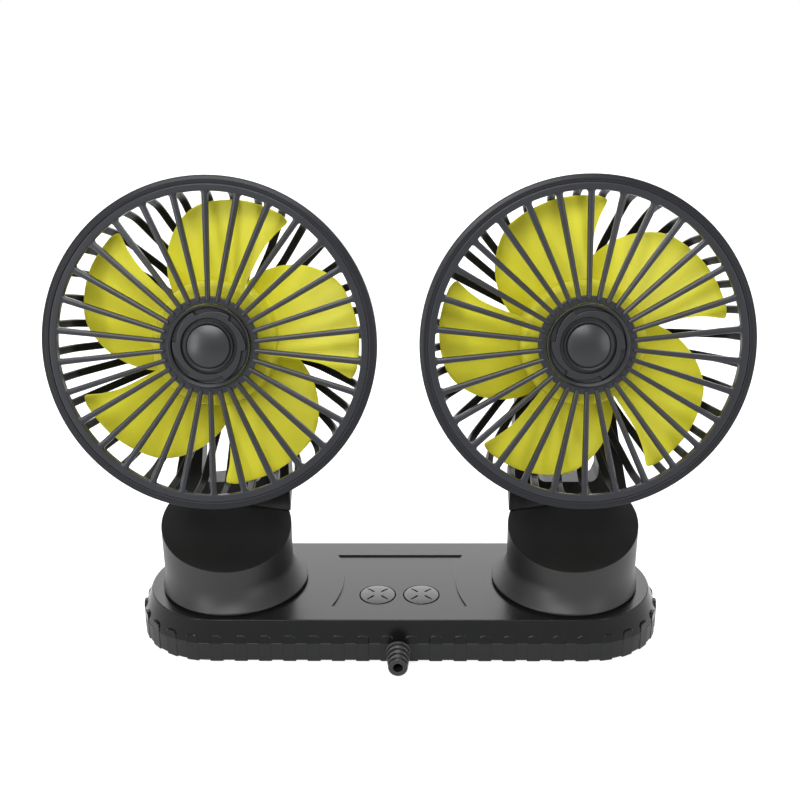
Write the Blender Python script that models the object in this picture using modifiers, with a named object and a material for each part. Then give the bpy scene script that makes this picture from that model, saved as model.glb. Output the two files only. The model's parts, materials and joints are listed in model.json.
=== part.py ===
"""Twin-head desk fan: two caged heads on swivelling turrets that share one long base.

Metres, +Z up, front towards -Y. The origin is under the middle of the base, on the surface it stands on.
"""
import math

import bmesh
import bpy
from mathutils import Matrix, Vector

# Fits between pieces
GAP = 0.0003
OVERRUN = 0.001
WELD = 0.00001
SHARP_ANGLE = math.radians(35)

# Layout of the two heads
HEAD_SPACING = 0.1425
SWIVEL_INSET = 0.0025
HEAD_TILT = math.radians(12.04)
RIM_CENTRE_Y = -0.0112
RIM_CENTRE_Z = 0.1259
PIVOT_SETBACK = 0.0075
SIDES = {"left": -1, "right": 1}

# Base outline, a stadium
BASE_LENGTH = 0.2157
BASE_HALF_DEPTH = 0.03215
END_STEPS = 10

# Anti-slip pad under the base
PAD_THICKNESS = 0.0008
PAD_MARGIN = 0.0030

# Bottom tray with its band and the arched tabs that clasp the upper shell
TRAY_FLOOR = 0.0015
TRAY_WALL = 0.0020
BAND_TOP = 0.0091
TAB_COUNT = 52
TAB_WIDTH = 0.0053
TAB_THICKNESS = 0.0007
TAB_RISE = 0.00365
TAB_CROWN_SHARE = 0.74

# Upper shell
SHELL_TOP = 0.01975
SHELL_WALL = 0.0020
SHELL_EDGE = 0.0007
SHELL_LIP = 0.0025
SHELL_END_LEAN = 0.0037
PANEL_DEPTH = 0.0009
PANEL_BACK_MARGIN = 0.01185
PANEL_FRONT_MARGIN = 0.01075
PANEL_HALF_WIDTH = 0.0272
PANEL_WAIST = 0.0233
PANEL_ARC_STEPS = 6

# Screws that join tray and shell
SCREW_X = 0.0450
SCREW_Y = 0.0200
SCREW_RADIUS = 0.0011
SCREW_HEAD_RADIUS = 0.0028
SCREW_HEAD_HEIGHT = 0.0014
SCREW_REACH = 0.0080
SLOT_WIDTH = 0.0008
SLOT_DEPTH = 0.0006
WELL_WALL = 0.0014
WELL_CEILING = 0.0016
WELL_HEIGHT = 0.0036
BOSS_WALL = 0.0022
SCREW_STEPS = 8

# Circuit board, switches and push buttons
BOARD_LENGTH = 0.0520
BOARD_WIDTH = 0.0240
BOARD_THICKNESS = 0.0016
BOARD_HEIGHT = 0.0066
BUTTON_SETBACK = 0.0098
POST_RADIUS = 0.0018
POST_INSET = 0.0030
SWITCH_SIZE = 0.0060
SWITCH_HEIGHT = 0.0034
PLUNGER_RADIUS = 0.0016
PLUNGER_HEIGHT = 0.0010
BUTTON_X = 0.00896
BUTTON_RADIUS = 0.0071
BUTTON_PROUD = 0.0004
BUTTON_DOME = 0.0004
BUTTON_FLANGE = 0.0012
BUTTON_FLANGE_HEIGHT = 0.0010
BUTTON_TRAVEL = 0.0010
BUTTON_STEM_RADIUS = 0.0020
GROOVE_WIDTH = 0.0009
GROOVE_DEPTH = 0.0003
GROOVE_REACH = 0.0052
BUTTON_STEPS = 16

# Cable strain relief at the front
BOOT_X = -0.0004
BOOT_HEIGHT = 0.0054
BOOT_LENGTH = 0.0108
BOOT_ROOT_RADIUS = 0.0050
BOOT_TIP_RADIUS = 0.0038
BOOT_RIB_DEPTH = 0.0007
BOOT_RIBS = 4
BOOT_NECK_RADIUS = 0.0027
BOOT_TAIL = 0.0045
BOOT_BORE_RADIUS = 0.0019
BOOT_BORE_DEPTH = 0.0060
BOOT_STEPS = 10

# Turret that swivels on the base: a drum that flares into a wider round foot
TURRET_RADIUS = 0.0265
TURRET_WALL = 0.0020
TURRET_TOP_Z = 0.0466
TURRET_SLOPE = 0.325
TURRET_LEAN = 0.09
FOOT_RADIUS = 0.0300
FOOT_RIM = 0.0006
FOOT_FLARE = 0.0090
FOOT_UNDERCUT = 0.0009
FOOT_UNDERCUT_WIDTH = 0.0014
SPIGOT_RADIUS = 0.0117
SPIGOT_LENGTH = 0.0065
RETAINER_WIDTH = 0.0035
RETAINER_HEIGHT = 0.0025
TURRET_STEPS = 24

# Yoke that carries the head, a broad fork
YOKE_HALF_GAP = 0.0133
YOKE_FLOOR = 0.0568
YOKE_CORNER = 0.0040
YOKE_FOOT_HALF_WIDTH = 0.0259
ARM_THICKNESS = 0.0050
ARM_HALF_DEPTH = 0.0042
ARM_FOOT_HALF_DEPTH = 0.0056
ARM_FOOT_Y = 0.0120
ARM_LEAN_REACH = 0.0185
ARM_LEAN_Z = 0.0590
ARM_BACK_SETBACK = 0.0005
ARM_BACK_Z = 0.0860
ARM_STEPS = 7
EYE_RADIUS = 0.0062
EYE_STEPS = 8
YOKE_CORNER_STEPS = 3
PIN_RADIUS = 0.0020
PIN_HEAD_RADIUS = 0.0038
PIN_HEAD_HEIGHT = 0.0013
PIN_DEPTH = 0.0055
PIN_STEPS = 10

# Front guard, measured from the plane of its rim
GUARD_RADIUS = 0.0633
GUARD_OPENING = 0.0574
GUARD_LIP = 0.0060
GUARD_WALL = 0.0019
GUARD_SEAM = 0.0003
GUARD_THICKNESS = 0.0024
GUARD_RIBS = 30
GUARD_RIB_OUTER = 0.0024
GUARD_RIB_INNER = 0.0017
GUARD_HUB_RADIUS = 0.0187
GUARD_STEPS = 40

# Hub ring and cap in the middle of the guard
HUB_RING_RADIUS = 0.0157
HUB_RING_WIDTH = 0.0014
HUB_RING_PROUD = 0.0010
HUB_FLOOR_DEPTH = 0.0012
HUB_BACK = 0.0026
VANE_COUNT = 6
VANE_OUTER = 0.0138
VANE_STEP = 0.0011
VANE_INNER = 0.0107
VANE_HEIGHT = 0.0010
VANE_ARC_STEPS = 2
CAP_RADIUS = 0.0092
CAP_RIM = 0.0010
CAP_HEIGHT = 0.0022
CAP_DOME = 0.0012
HUB_STEPS = 20

# Rear cage, depths measured behind the rim plane
CAGE_RIM_RADIUS = 0.0605
CAGE_RIM_FRONT = 0.0030
CAGE_RIM_BACK = 0.0072
CAGE_DEPTH = 0.0465
CAGE_PLATE_RADIUS = 0.0160
CAGE_RIBS = 36
CAGE_RIB_WIDTH = 0.0030
CAGE_WALL = 0.0020
CAGE_SHOULDER_RADIUS_SHARE = 0.96
CAGE_SHOULDER_DEPTH_SHARE = 0.45
CAGE_HAUNCH_RADIUS_SHARE = 0.65
CAGE_HAUNCH_DEPTH_SHARE = 0.92

# Motor and the pod behind the cage that the yoke holds
POD_RADIUS = 0.0125
POD_LENGTH = 0.0145
POD_EDGE = 0.0025
POD_BOSS_RADIUS = 0.0062
POD_STEPS = 14
MOTOR_RADIUS = 0.0120
MOTOR_LENGTH = 0.0130
MOTOR_EDGE = 0.0012
MOTOR_NOSE_RADIUS = 0.0035
MOTOR_NOSE = 0.0012
SHAFT_RADIUS = 0.0010
SHAFT_SINK = 0.0080
SHAFT_STEPS = 8

# Impeller
FAN_RADIUS = 0.0560
FAN_BLADES = 5
FAN_MIDDLE_SHARE = 7 / 13
FAN_PITCH = 0.0136
FAN_HUB_RADIUS = 0.0245
FAN_HUB_FRONT = 0.0100
FAN_MOTOR_CLEARANCE = 0.0020
FAN_HUB_WALL = 0.0016
FAN_HUB_EDGE = 0.0030
FAN_BOSS_RADIUS = 0.0034
BLADE_THICKNESS = 0.0013
BLADE_ROOT_RADIUS = 0.0237
BLADE_CHORD_CELLS = 3
FAN_STEPS = 20
FAN_FIRST_TIP = {"left": math.radians(33.5), "right": math.radians(9.0)}
BLADE_TIP = math.radians(33.5)
# Radius as a share of the blade span, and the turn of each edge as a share of the tip's turn
BLADE_EDGE_SHARES = [
    (0.00, -1.49, 0.89),
    (0.36, -1.10, 0.85),
    (0.66, -0.70, 0.88),
    (0.89, -0.28, 0.95),
    (1.00, 0.36, 1.00),
]

# Shares that shape domes, the turret's flare, the boot's ribs and the hub's vanes
DOME_SHARES = (0, 0.5, 1)
FLARE_SHARES = (1, 0.62, 0.3, 0)
RIB_SHARES = ((0, 0), (0.5, 0), (0.7, 1))
VANE_FILL_SHARE = 0.86
BLADE_LEAN_SHARE = 0.3

# Finishes: colour, roughness, metallic
FINISHES = {
    "charcoal": ((0.075, 0.078, 0.085, 1), 0.42, 0),
    "black": ((0.018, 0.018, 0.019, 1), 0.45, 0),
    "base": ((0.035, 0.035, 0.037, 1), 0.38, 0),
    "rubber": ((0.015, 0.015, 0.015, 1), 0.80, 0),
    "blade": ((0.50, 0.47, 0.085, 1), 0.45, 0),
    "steel": ((0.60, 0.60, 0.62, 1), 0.30, 1),
    "board": ((0.03, 0.16, 0.07, 1), 0.50, 0),
}

# Places worked out from the sizes above
HALF_STRAIGHT = BASE_LENGTH / 2 - BASE_HALF_DEPTH
HALF_TURN_LENGTH = math.pi * BASE_HALF_DEPTH
PERIMETER = 4 * HALF_STRAIGHT + 2 * HALF_TURN_LENGTH
TRAY_BOTTOM = PAD_THICKNESS + GAP
FLOOR_TOP = TRAY_BOTTOM + TRAY_FLOOR
SHELL_RADIUS = BASE_HALF_DEPTH - TAB_THICKNESS - GAP
SHELL_BOTTOM = BAND_TOP + GAP
CEILING = SHELL_TOP - SHELL_WALL
PANEL_FLOOR = SHELL_TOP - PANEL_DEPTH
PANEL_BACK = BASE_HALF_DEPTH - PANEL_BACK_MARGIN
PANEL_FRONT = PANEL_FRONT_MARGIN - BASE_HALF_DEPTH
BOARD_Y = PANEL_FRONT + BUTTON_SETBACK
SPIGOT_HOLE = SPIGOT_RADIUS + GAP
SWIVEL_X = HEAD_SPACING / 2 - SWIVEL_INSET
FOOT_LOW = SHELL_TOP + FOOT_UNDERCUT
BUTTON_HOLE = BUTTON_RADIUS + GAP
PIVOT_DEPTH = CAGE_DEPTH + PIVOT_SETBACK
PIVOT_Y = RIM_CENTRE_Y + PIVOT_DEPTH * math.cos(HEAD_TILT)
PIVOT_Z = RIM_CENTRE_Z - PIVOT_DEPTH * math.sin(HEAD_TILT)
PIVOT_HALF_WIDTH = YOKE_HALF_GAP - GAP
ARM_OUTER = YOKE_HALF_GAP + ARM_THICKNESS
YOKE_LOW = TURRET_TOP_Z - TURRET_LEAN * TURRET_RADIUS
ARM_LEAN_Y = CAGE_DEPTH - ARM_LEAN_REACH
ARM_BACK_Y = CAGE_DEPTH + ARM_BACK_SETBACK
CAGE_INNER = CAGE_DEPTH - CAGE_WALL
POD_BACK = CAGE_DEPTH + POD_LENGTH
MOTOR_FRONT = CAGE_INNER - MOTOR_LENGTH
FAN_HUB_BACK = MOTOR_FRONT - FAN_MOTOR_CLEARANCE
FAN_MIDDLE = FAN_HUB_FRONT + (FAN_HUB_BACK - FAN_HUB_FRONT) * FAN_MIDDLE_SHARE
WELL_TOP = FLOOR_TOP + WELL_HEIGHT
SCREW_TOP = WELL_TOP + SCREW_REACH
SCREW_PLACES = [(across * SCREW_X, along * SCREW_Y) for across in (-1, 1) for along in (-1, 1)]
POST_PLACES = [(across * (BOARD_LENGTH / 2 - POST_INSET), BOARD_Y + along * (BOARD_WIDTH / 2 - POST_INSET))
               for across in (-1, 1) for along in (-1, 1)]
HEAD_PLACE = (0, 0, PIVOT_DEPTH)
BLADE_LEAN = BLADE_TIP * BLADE_LEAN_SHARE


def clear_scene():
    for item in list(bpy.data.objects):
        bpy.data.objects.remove(item, do_unlink=True)


def new_collection(name):
    group = bpy.data.collections.new(name)
    bpy.context.scene.collection.children.link(group)
    return group


def finish_material(name, finish):
    colour, roughness, metallic = FINISHES[finish]
    material = bpy.data.materials.new(name)
    material.use_nodes = True
    shader = material.node_tree.nodes["Principled BSDF"]
    shader.inputs["Base Color"].default_value = colour
    shader.inputs["Roughness"].default_value = roughness
    shader.inputs["Metallic"].default_value = metallic
    return material


def add_piece(name, data, finish, parent=None, location=(0, 0, 0)):
    """A visible sub-part with its own material, placed under its joint's empty."""
    piece = bpy.data.objects.new(name, data)
    parts.objects.link(piece)
    piece.data.materials.append(finish_material(name, finish))
    piece.parent = parent
    piece.location = location
    return piece


def add_tool(name, data, parent=None, location=(0, 0, 0)):
    """A shape that only cuts or joins another one."""
    tool = bpy.data.objects.new(name, data)
    tools.objects.link(tool)
    tool.hide_render = True
    tool.display_type = "WIRE"
    tool.parent = parent
    tool.location = location
    return tool


def add_axis(name, location, parent=None, rotation=(0, 0, 0)):
    axis = bpy.data.objects.new(name, None)
    parts.objects.link(axis)
    axis.parent = parent
    axis.location = location
    axis.rotation_euler = rotation
    return axis


def boolean(target, tool, operation):
    modifier = target.modifiers.new(tool.name, "BOOLEAN")
    modifier.operation = operation
    modifier.solver = "EXACT"
    modifier.object = tool


def cut(target, tool):
    boolean(target, tool, "DIFFERENCE")


def unite(target, tool):
    boolean(target, tool, "UNION")


def mesh_from(shape, name):
    mesh = bpy.data.meshes.new(name)
    bmesh.ops.recalc_face_normals(shape, faces=shape.faces)
    shape.to_mesh(mesh)
    shape.free()
    mesh.shade_smooth()
    mesh.set_sharp_from_angle(angle=SHARP_ANGLE)
    return mesh


def rods_mesh(name, centres, radius, low, high, steps):
    """Upright rods that share one mesh, each between two heights."""
    shape = bmesh.new()
    for x, y in centres:
        middle = Matrix.Translation((x, y, (low + high) / 2))
        bmesh.ops.create_cone(shape, cap_ends=True, segments=steps, radius1=radius, radius2=radius,
                              depth=high - low, matrix=middle)
    return mesh_from(shape, name)


def cross_rod_mesh(name, radius, low, high, steps):
    """A rod along X between two places."""
    shape = bmesh.new()
    place = Matrix.Translation(((low + high) / 2, 0, 0)) @ Matrix.Rotation(math.pi / 2, 4, "Y")
    bmesh.ops.create_cone(shape, cap_ends=True, segments=steps, radius1=radius, radius2=radius,
                          depth=high - low, matrix=place)
    return mesh_from(shape, name)


def box_mesh(name, low, high):
    shape = bmesh.new()
    size = Vector(high) - Vector(low)
    place = Matrix.Translation((Vector(high) + Vector(low)) / 2) @ Matrix.Diagonal((*size, 1))
    bmesh.ops.create_cube(shape, size=1, matrix=place)
    return mesh_from(shape, name)


def profile_mesh(name, profile, closed=False):
    """An outline of radius and height in the XZ plane, ready to be turned about Z."""
    mesh = bpy.data.meshes.new(name)
    count = len(profile)
    edges = [(index, (index + 1) % count) for index in range(count if closed else count - 1)]
    mesh.from_pydata([(radius, 0, height) for radius, height in profile], edges, [])
    return mesh


def turn(piece, steps):
    """Turns a profile about Z. The outline runs down its outer side."""
    screw = piece.modifiers.new("Turned", "SCREW")
    screw.axis = "Z"
    screw.steps = steps
    screw.render_steps = steps
    screw.use_merge_vertices = True
    screw.merge_threshold = WELD
    screw.use_smooth_shade = True
    return piece


def flat_mesh(name, outlines, low, high):
    """A flat outline with holes, made thick along Z, as a welded mesh."""
    curve = bpy.data.curves.new(name, "CURVE")
    curve.dimensions = "2D"
    curve.fill_mode = "BOTH"
    curve.extrude = (high - low) / 2
    for outline in outlines:
        spline = curve.splines.new("POLY")
        spline.points.add(len(outline) - 1)
        for point, (x, y) in zip(spline.points, outline):
            point.co = (x, y, 0, 1)
        spline.use_cyclic_u = True
    holder = bpy.data.objects.new(name, curve)
    tools.objects.link(holder)
    depsgraph = bpy.context.evaluated_depsgraph_get()
    mesh = bpy.data.meshes.new_from_object(holder.evaluated_get(depsgraph))
    bpy.data.objects.remove(holder)
    bpy.data.curves.remove(curve)
    shape = bmesh.new()
    shape.from_mesh(mesh)
    bpy.data.meshes.remove(mesh)
    bmesh.ops.remove_doubles(shape, verts=shape.verts, dist=WELD)
    bmesh.ops.translate(shape, verts=shape.verts, vec=(0, 0, (low + high) / 2))
    return mesh_from(shape, name)


def arc(centre, radius, start, end, steps):
    """Points on an arc in the plane, both ends included."""
    turns = [start + (end - start) * step / steps for step in range(steps + 1)]
    return [(centre[0] + radius * math.cos(turn), centre[1] + radius * math.sin(turn)) for turn in turns]


def circle(radius, steps, centre=(0, 0)):
    return arc(centre, radius, 0, 2 * math.pi, steps)[:-1]


def stadium(radius):
    """The base's outline, drawn in or out to another end radius."""
    quarter = math.pi / 2
    return (arc((HALF_STRAIGHT, 0), radius, -quarter, quarter, END_STEPS)
            + arc((-HALF_STRAIGHT, 0), radius, quarter, 3 * quarter, END_STEPS))


def outline_point(distance, radius):
    """Place at a distance along the base's outline from its front middle, at another end radius."""
    distance = distance % PERIMETER
    quarter = math.pi / 2
    if distance < HALF_STRAIGHT:
        return distance, -radius
    distance -= HALF_STRAIGHT
    if distance < HALF_TURN_LENGTH:
        return arc((HALF_STRAIGHT, 0), radius, distance / BASE_HALF_DEPTH - quarter, 0, 1)[0]
    distance -= HALF_TURN_LENGTH
    if distance < 2 * HALF_STRAIGHT:
        return HALF_STRAIGHT - distance, radius
    distance -= 2 * HALF_STRAIGHT
    if distance < HALF_TURN_LENGTH:
        return arc((-HALF_STRAIGHT, 0), radius, distance / BASE_HALF_DEPTH + quarter, 0, 1)[0]
    return distance - HALF_TURN_LENGTH - HALF_STRAIGHT, -radius


def extrude_face(shape, face, rise):
    """Draws one face along Z and gives back its moved copy."""
    grown = bmesh.ops.extrude_face_region(shape, geom=[face])["geom"]
    bmesh.ops.translate(shape, verts=[item for item in grown if isinstance(item, bmesh.types.BMVert)],
                        vec=(0, 0, rise))
    return next(item for item in grown if isinstance(item, bmesh.types.BMFace))


def inset_face(shape, face, width):
    return bmesh.ops.inset_region(shape, faces=[face], thickness=width, use_even_offset=True)["faces"]


def raise_tabs(shape, rim, tab_centres):
    """Grows an arched tab from each piece of the band's outer strip that lies at a tab's place."""
    feet = []
    for x, y in tab_centres:
        place = Vector((x, y, BAND_TOP))
        feet.append(min(rim, key=lambda face: (face.calc_center_median() - place).length))
    for foot in bmesh.ops.extrude_discrete_faces(shape, faces=feet)["faces"]:
        middle = foot.calc_center_median()
        longest = max(foot.edges, key=lambda edge: edge.calc_length())
        along = (longest.verts[1].co - longest.verts[0].co).normalized()
        for vert in foot.verts:
            reach = (vert.co - middle).dot(along)
            vert.co += along * reach * (TAB_CROWN_SHARE - 1) + Vector((0, 0, TAB_RISE))


def make_tray():
    """Floor and outer band of the base, with the tabs, screw wells, board posts and the cable's hole."""
    pitch = PERIMETER / TAB_COUNT
    middles = [(index + 1 / 2) * pitch for index in range(TAB_COUNT)]
    edges = [middle + side * TAB_WIDTH / 2 for middle in middles for side in (-1, 1)]
    shape = bmesh.new()
    corners = [shape.verts.new((*outline_point(edge, BASE_HALF_DEPTH), TRAY_BOTTOM)) for edge in edges]
    band = extrude_face(shape, shape.faces.new(corners), BAND_TOP - TRAY_BOTTOM)
    strip = inset_face(shape, band, TAB_THICKNESS)
    inset_face(shape, band, TRAY_WALL - TAB_THICKNESS)
    extrude_face(shape, band, FLOOR_TOP - BAND_TOP)
    shape.faces.remove(band)
    strip_radius = BASE_HALF_DEPTH - TAB_THICKNESS / 2
    raise_tabs(shape, strip, [outline_point(middle, strip_radius) for middle in middles])
    tray = add_piece("base_tray", mesh_from(shape, "base_tray"), "base")
    well = SCREW_HEAD_RADIUS + GAP + WELL_WALL
    inside = FLOOR_TOP - TRAY_FLOOR / 2
    unite(tray, add_tool("tray_wells", rods_mesh("tray_wells", SCREW_PLACES, well, inside, WELL_TOP,
                                                 SCREW_STEPS)))
    unite(tray, add_tool("tray_posts", rods_mesh("tray_posts", POST_PLACES, POST_RADIUS, inside,
                                                 BOARD_HEIGHT - GAP, SCREW_STEPS)))
    cut(tray, add_tool("head_bores", rods_mesh("head_bores", SCREW_PLACES, SCREW_HEAD_RADIUS + GAP,
                                               -OVERRUN, WELL_TOP - WELL_CEILING, SCREW_STEPS)))
    cut(tray, add_tool("shank_bores", rods_mesh("shank_bores", SCREW_PLACES, SCREW_RADIUS + GAP,
                                                0, WELL_TOP + OVERRUN, SCREW_STEPS)))
    hole = add_tool("boot_hole", rods_mesh("boot_hole", [(0, 0)], BOOT_NECK_RADIUS + GAP, -OVERRUN,
                                           TRAY_WALL + OVERRUN, BOOT_STEPS),
                    location=(BOOT_X, -BASE_HALF_DEPTH, BOOT_HEIGHT))
    hole.rotation_euler = (-math.pi / 2, 0, 0)
    cut(tray, hole)


def make_grip_pad():
    radius = BASE_HALF_DEPTH - PAD_MARGIN
    holes = [circle(SCREW_HEAD_RADIUS + WELL_WALL, SCREW_STEPS, place) for place in SCREW_PLACES]
    add_piece("grip_pad", flat_mesh("grip_pad", [stadium(radius), *holes], 0, PAD_THICKNESS), "rubber")


def panel_outline():
    """Shallow panel with a straight back, drawn-in sides and blunt front corners."""
    rise = PANEL_BACK - PANEL_FRONT
    dip = PANEL_HALF_WIDTH - PANEL_WAIST
    radius = (rise * rise / 4 + dip * dip) / (2 * dip)
    sweep = math.asin(rise / 2 / radius)
    middle = (PANEL_BACK + PANEL_FRONT) / 2
    right = arc((PANEL_WAIST + radius, middle), radius, math.pi - sweep, math.pi + sweep, PANEL_ARC_STEPS)
    left = [(-x, y) for x, y in reversed(right)]
    return right + left


def make_shell():
    """Upper shell: open underneath, its ends leaning in, with the panel, the holes and the screw bosses."""
    shape = bmesh.new()
    corners = [shape.verts.new((x, y, SHELL_BOTTOM)) for x, y in stadium(SHELL_RADIUS)]
    bottom = shape.faces.new(corners)
    lip = extrude_face(shape, bottom, SHELL_LIP)
    top = extrude_face(shape, lip, SHELL_TOP - SHELL_BOTTOM - SHELL_LIP)
    for vert in top.verts:
        vert.co.x -= math.copysign(SHELL_END_LEAN, vert.co.x)
    shape.faces.remove(bottom)
    shape.faces.remove(lip)
    shell = add_piece("base_shell", mesh_from(shape, "base_shell"), "base")
    edge = shell.modifiers.new("Top edge", "BEVEL")
    edge.width = SHELL_EDGE
    edge.segments = 1
    edge.limit_method = "ANGLE"
    edge.angle_limit = SHARP_ANGLE
    wall = shell.modifiers.new("Wall", "SOLIDIFY")
    wall.thickness = SHELL_WALL
    wall.offset = -1
    wall.use_even_offset = True
    inside = CEILING + SHELL_WALL / 2
    unite(shell, add_tool("shell_bosses", rods_mesh("shell_bosses", SCREW_PLACES, SCREW_RADIUS + BOSS_WALL,
                                                    WELL_TOP + GAP, inside, SCREW_STEPS)))
    cut(shell, add_tool("pilot_bores", rods_mesh("pilot_bores", SCREW_PLACES, SCREW_RADIUS + GAP, 0,
                                                 SCREW_TOP + OVERRUN, SCREW_STEPS)))
    cut(shell, add_tool("panel", flat_mesh("panel", [panel_outline()], PANEL_FLOOR, SHELL_TOP + OVERRUN)))
    buttons = [(side * BUTTON_X, BOARD_Y) for side in SIDES.values()]
    cut(shell, add_tool("button_holes", rods_mesh("button_holes", buttons, BUTTON_HOLE,
                                                  CEILING - OVERRUN, SHELL_TOP + OVERRUN, BUTTON_STEPS)))
    turrets = [(side * SWIVEL_X, 0) for side in SIDES.values()]
    cut(shell, add_tool("turret_holes", rods_mesh("turret_holes", turrets, SPIGOT_HOLE,
                                                  CEILING - OVERRUN, SHELL_TOP + OVERRUN, TURRET_STEPS)))


def make_cover_screws():
    """Pan-head screws that come up through the tray into the shell's bosses."""
    low = WELL_TOP - WELL_CEILING - GAP - SCREW_HEAD_HEIGHT
    profile = [(0, SCREW_TOP), (SCREW_RADIUS, SCREW_TOP), (SCREW_RADIUS, low + SCREW_HEAD_HEIGHT),
               (SCREW_HEAD_RADIUS, low + SCREW_HEAD_HEIGHT), (SCREW_HEAD_RADIUS, low), (0, low)]
    half = SCREW_HEAD_RADIUS + OVERRUN
    slot = box_mesh("slot", (-half, -SLOT_WIDTH / 2, low - OVERRUN),
                    (half, SLOT_WIDTH / 2, low + SLOT_DEPTH))
    for index, (x, y) in enumerate(SCREW_PLACES, start=1):
        name = f"cover_screw_{index}"
        screw = turn(add_piece(name, profile_mesh(name, profile), "steel", location=(x, y, 0)), SCREW_STEPS)
        cut(screw, add_tool(f"{name}_slot", slot, location=(x, y, 0)))


def make_circuit_board():
    corners = [(across * BOARD_LENGTH / 2, BOARD_Y + along * BOARD_WIDTH / 2)
               for across, along in ((-1, -1), (1, -1), (1, 1), (-1, 1))]
    add_piece("circuit_board", flat_mesh("circuit_board", [corners], BOARD_HEIGHT,
                                         BOARD_HEIGHT + BOARD_THICKNESS), "board")


def make_switch(name, x):
    """Square switch body on the board, with its round plunger."""
    low = BOARD_HEIGHT + BOARD_THICKNESS + GAP
    high = low + SWITCH_HEIGHT
    half = SWITCH_SIZE / 2
    switch = add_piece(name, box_mesh(name, (-half, -half, low), (half, half, high)), "black",
                       location=(x, BOARD_Y, 0))
    unite(switch, add_tool(f"{name}_plunger", rods_mesh("plunger", [(0, 0)], PLUNGER_RADIUS, high - half / 2,
                                                        high + PLUNGER_HEIGHT, SCREW_STEPS),
                           location=(x, BOARD_Y, 0)))


def make_button(name, x):
    """Domed push button held under the panel by its flange, with a cross of grooves."""
    top = PANEL_FLOOR + BUTTON_PROUD
    flange_top = CEILING - GAP
    flange = BUTTON_RADIUS + BUTTON_FLANGE
    flange_low = flange_top - BUTTON_FLANGE_HEIGHT
    stem_low = (BOARD_HEIGHT + BOARD_THICKNESS + GAP + SWITCH_HEIGHT + PLUNGER_HEIGHT
                + BUTTON_TRAVEL + GAP)
    crown = [(share * BUTTON_RADIUS, top + BUTTON_DOME * (1 - share * share)) for share in DOME_SHARES]
    profile = [*crown, (BUTTON_RADIUS, top - BUTTON_DOME), (BUTTON_RADIUS, flange_top), (flange, flange_top),
               (flange, flange_low), (BUTTON_STEM_RADIUS, flange_low), (BUTTON_STEM_RADIUS, stem_low),
               (0, stem_low)]
    button = turn(add_piece(name, profile_mesh(name, profile), "base", location=(x, BOARD_Y, 0)),
                  BUTTON_STEPS)
    for index in range(2):
        groove = box_mesh("groove", (-GROOVE_REACH, -GROOVE_WIDTH / 2, top + BUTTON_DOME - GROOVE_DEPTH),
                          (GROOVE_REACH, GROOVE_WIDTH / 2, top + BUTTON_DOME + OVERRUN))
        tool = add_tool(f"{name}_groove_{index}", groove, location=(x, BOARD_Y, 0))
        tool.rotation_euler = (0, 0, math.pi / 4 + index * math.pi / 2)
        cut(button, tool)


def make_cable_boot():
    """Ribbed strain relief, turned about its own axis and laid to point out of the front."""
    pitch = BOOT_LENGTH / BOOT_RIBS
    taper = (BOOT_ROOT_RADIUS - BOOT_TIP_RADIUS) / BOOT_LENGTH
    profile = [(0, BOOT_LENGTH - BOOT_BORE_DEPTH), (BOOT_BORE_RADIUS, BOOT_LENGTH - BOOT_BORE_DEPTH),
               (BOOT_BORE_RADIUS, BOOT_LENGTH)]
    for rib in range(BOOT_RIBS):
        high = BOOT_LENGTH - rib * pitch
        for share, sunk in RIB_SHARES:
            height = high - share * pitch
            profile.append((BOOT_ROOT_RADIUS - taper * height - sunk * BOOT_RIB_DEPTH, height))
    profile += [(BOOT_ROOT_RADIUS, 0), (BOOT_NECK_RADIUS, 0), (BOOT_NECK_RADIUS, -TRAY_WALL - BOOT_TAIL),
                (0, -TRAY_WALL - BOOT_TAIL)]
    boot = turn(add_piece("cable_boot", profile_mesh("cable_boot", profile), "rubber",
                          location=(BOOT_X, -BASE_HALF_DEPTH - GAP, BOOT_HEIGHT)), BOOT_STEPS)
    boot.rotation_euler = (math.pi / 2, 0, 0)


def turret_top(x, y, way):
    """Height of the drum's slanted cut, which rises to the back and towards the drum's outer side."""
    return TURRET_TOP_Z + TURRET_SLOPE * y + TURRET_LEAN * way * x


def flare_foot(shape, swivel_place):
    """Spreads the drum's lower end into the round foot, which is centred on the swivel axis."""
    for vert in shape.verts:
        height = max(vert.co.z - FOOT_LOW - FOOT_RIM, 0)
        share = max(1 - height / FOOT_FLARE, 0) ** 2
        growth = FOOT_RADIUS - TURRET_RADIUS if vert.co.xy.length > SPIGOT_RADIUS + OVERRUN else 0
        spread = vert.co.xy.normalized() * growth + swivel_place
        vert.co += Vector((*spread, 0)) * share


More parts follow.
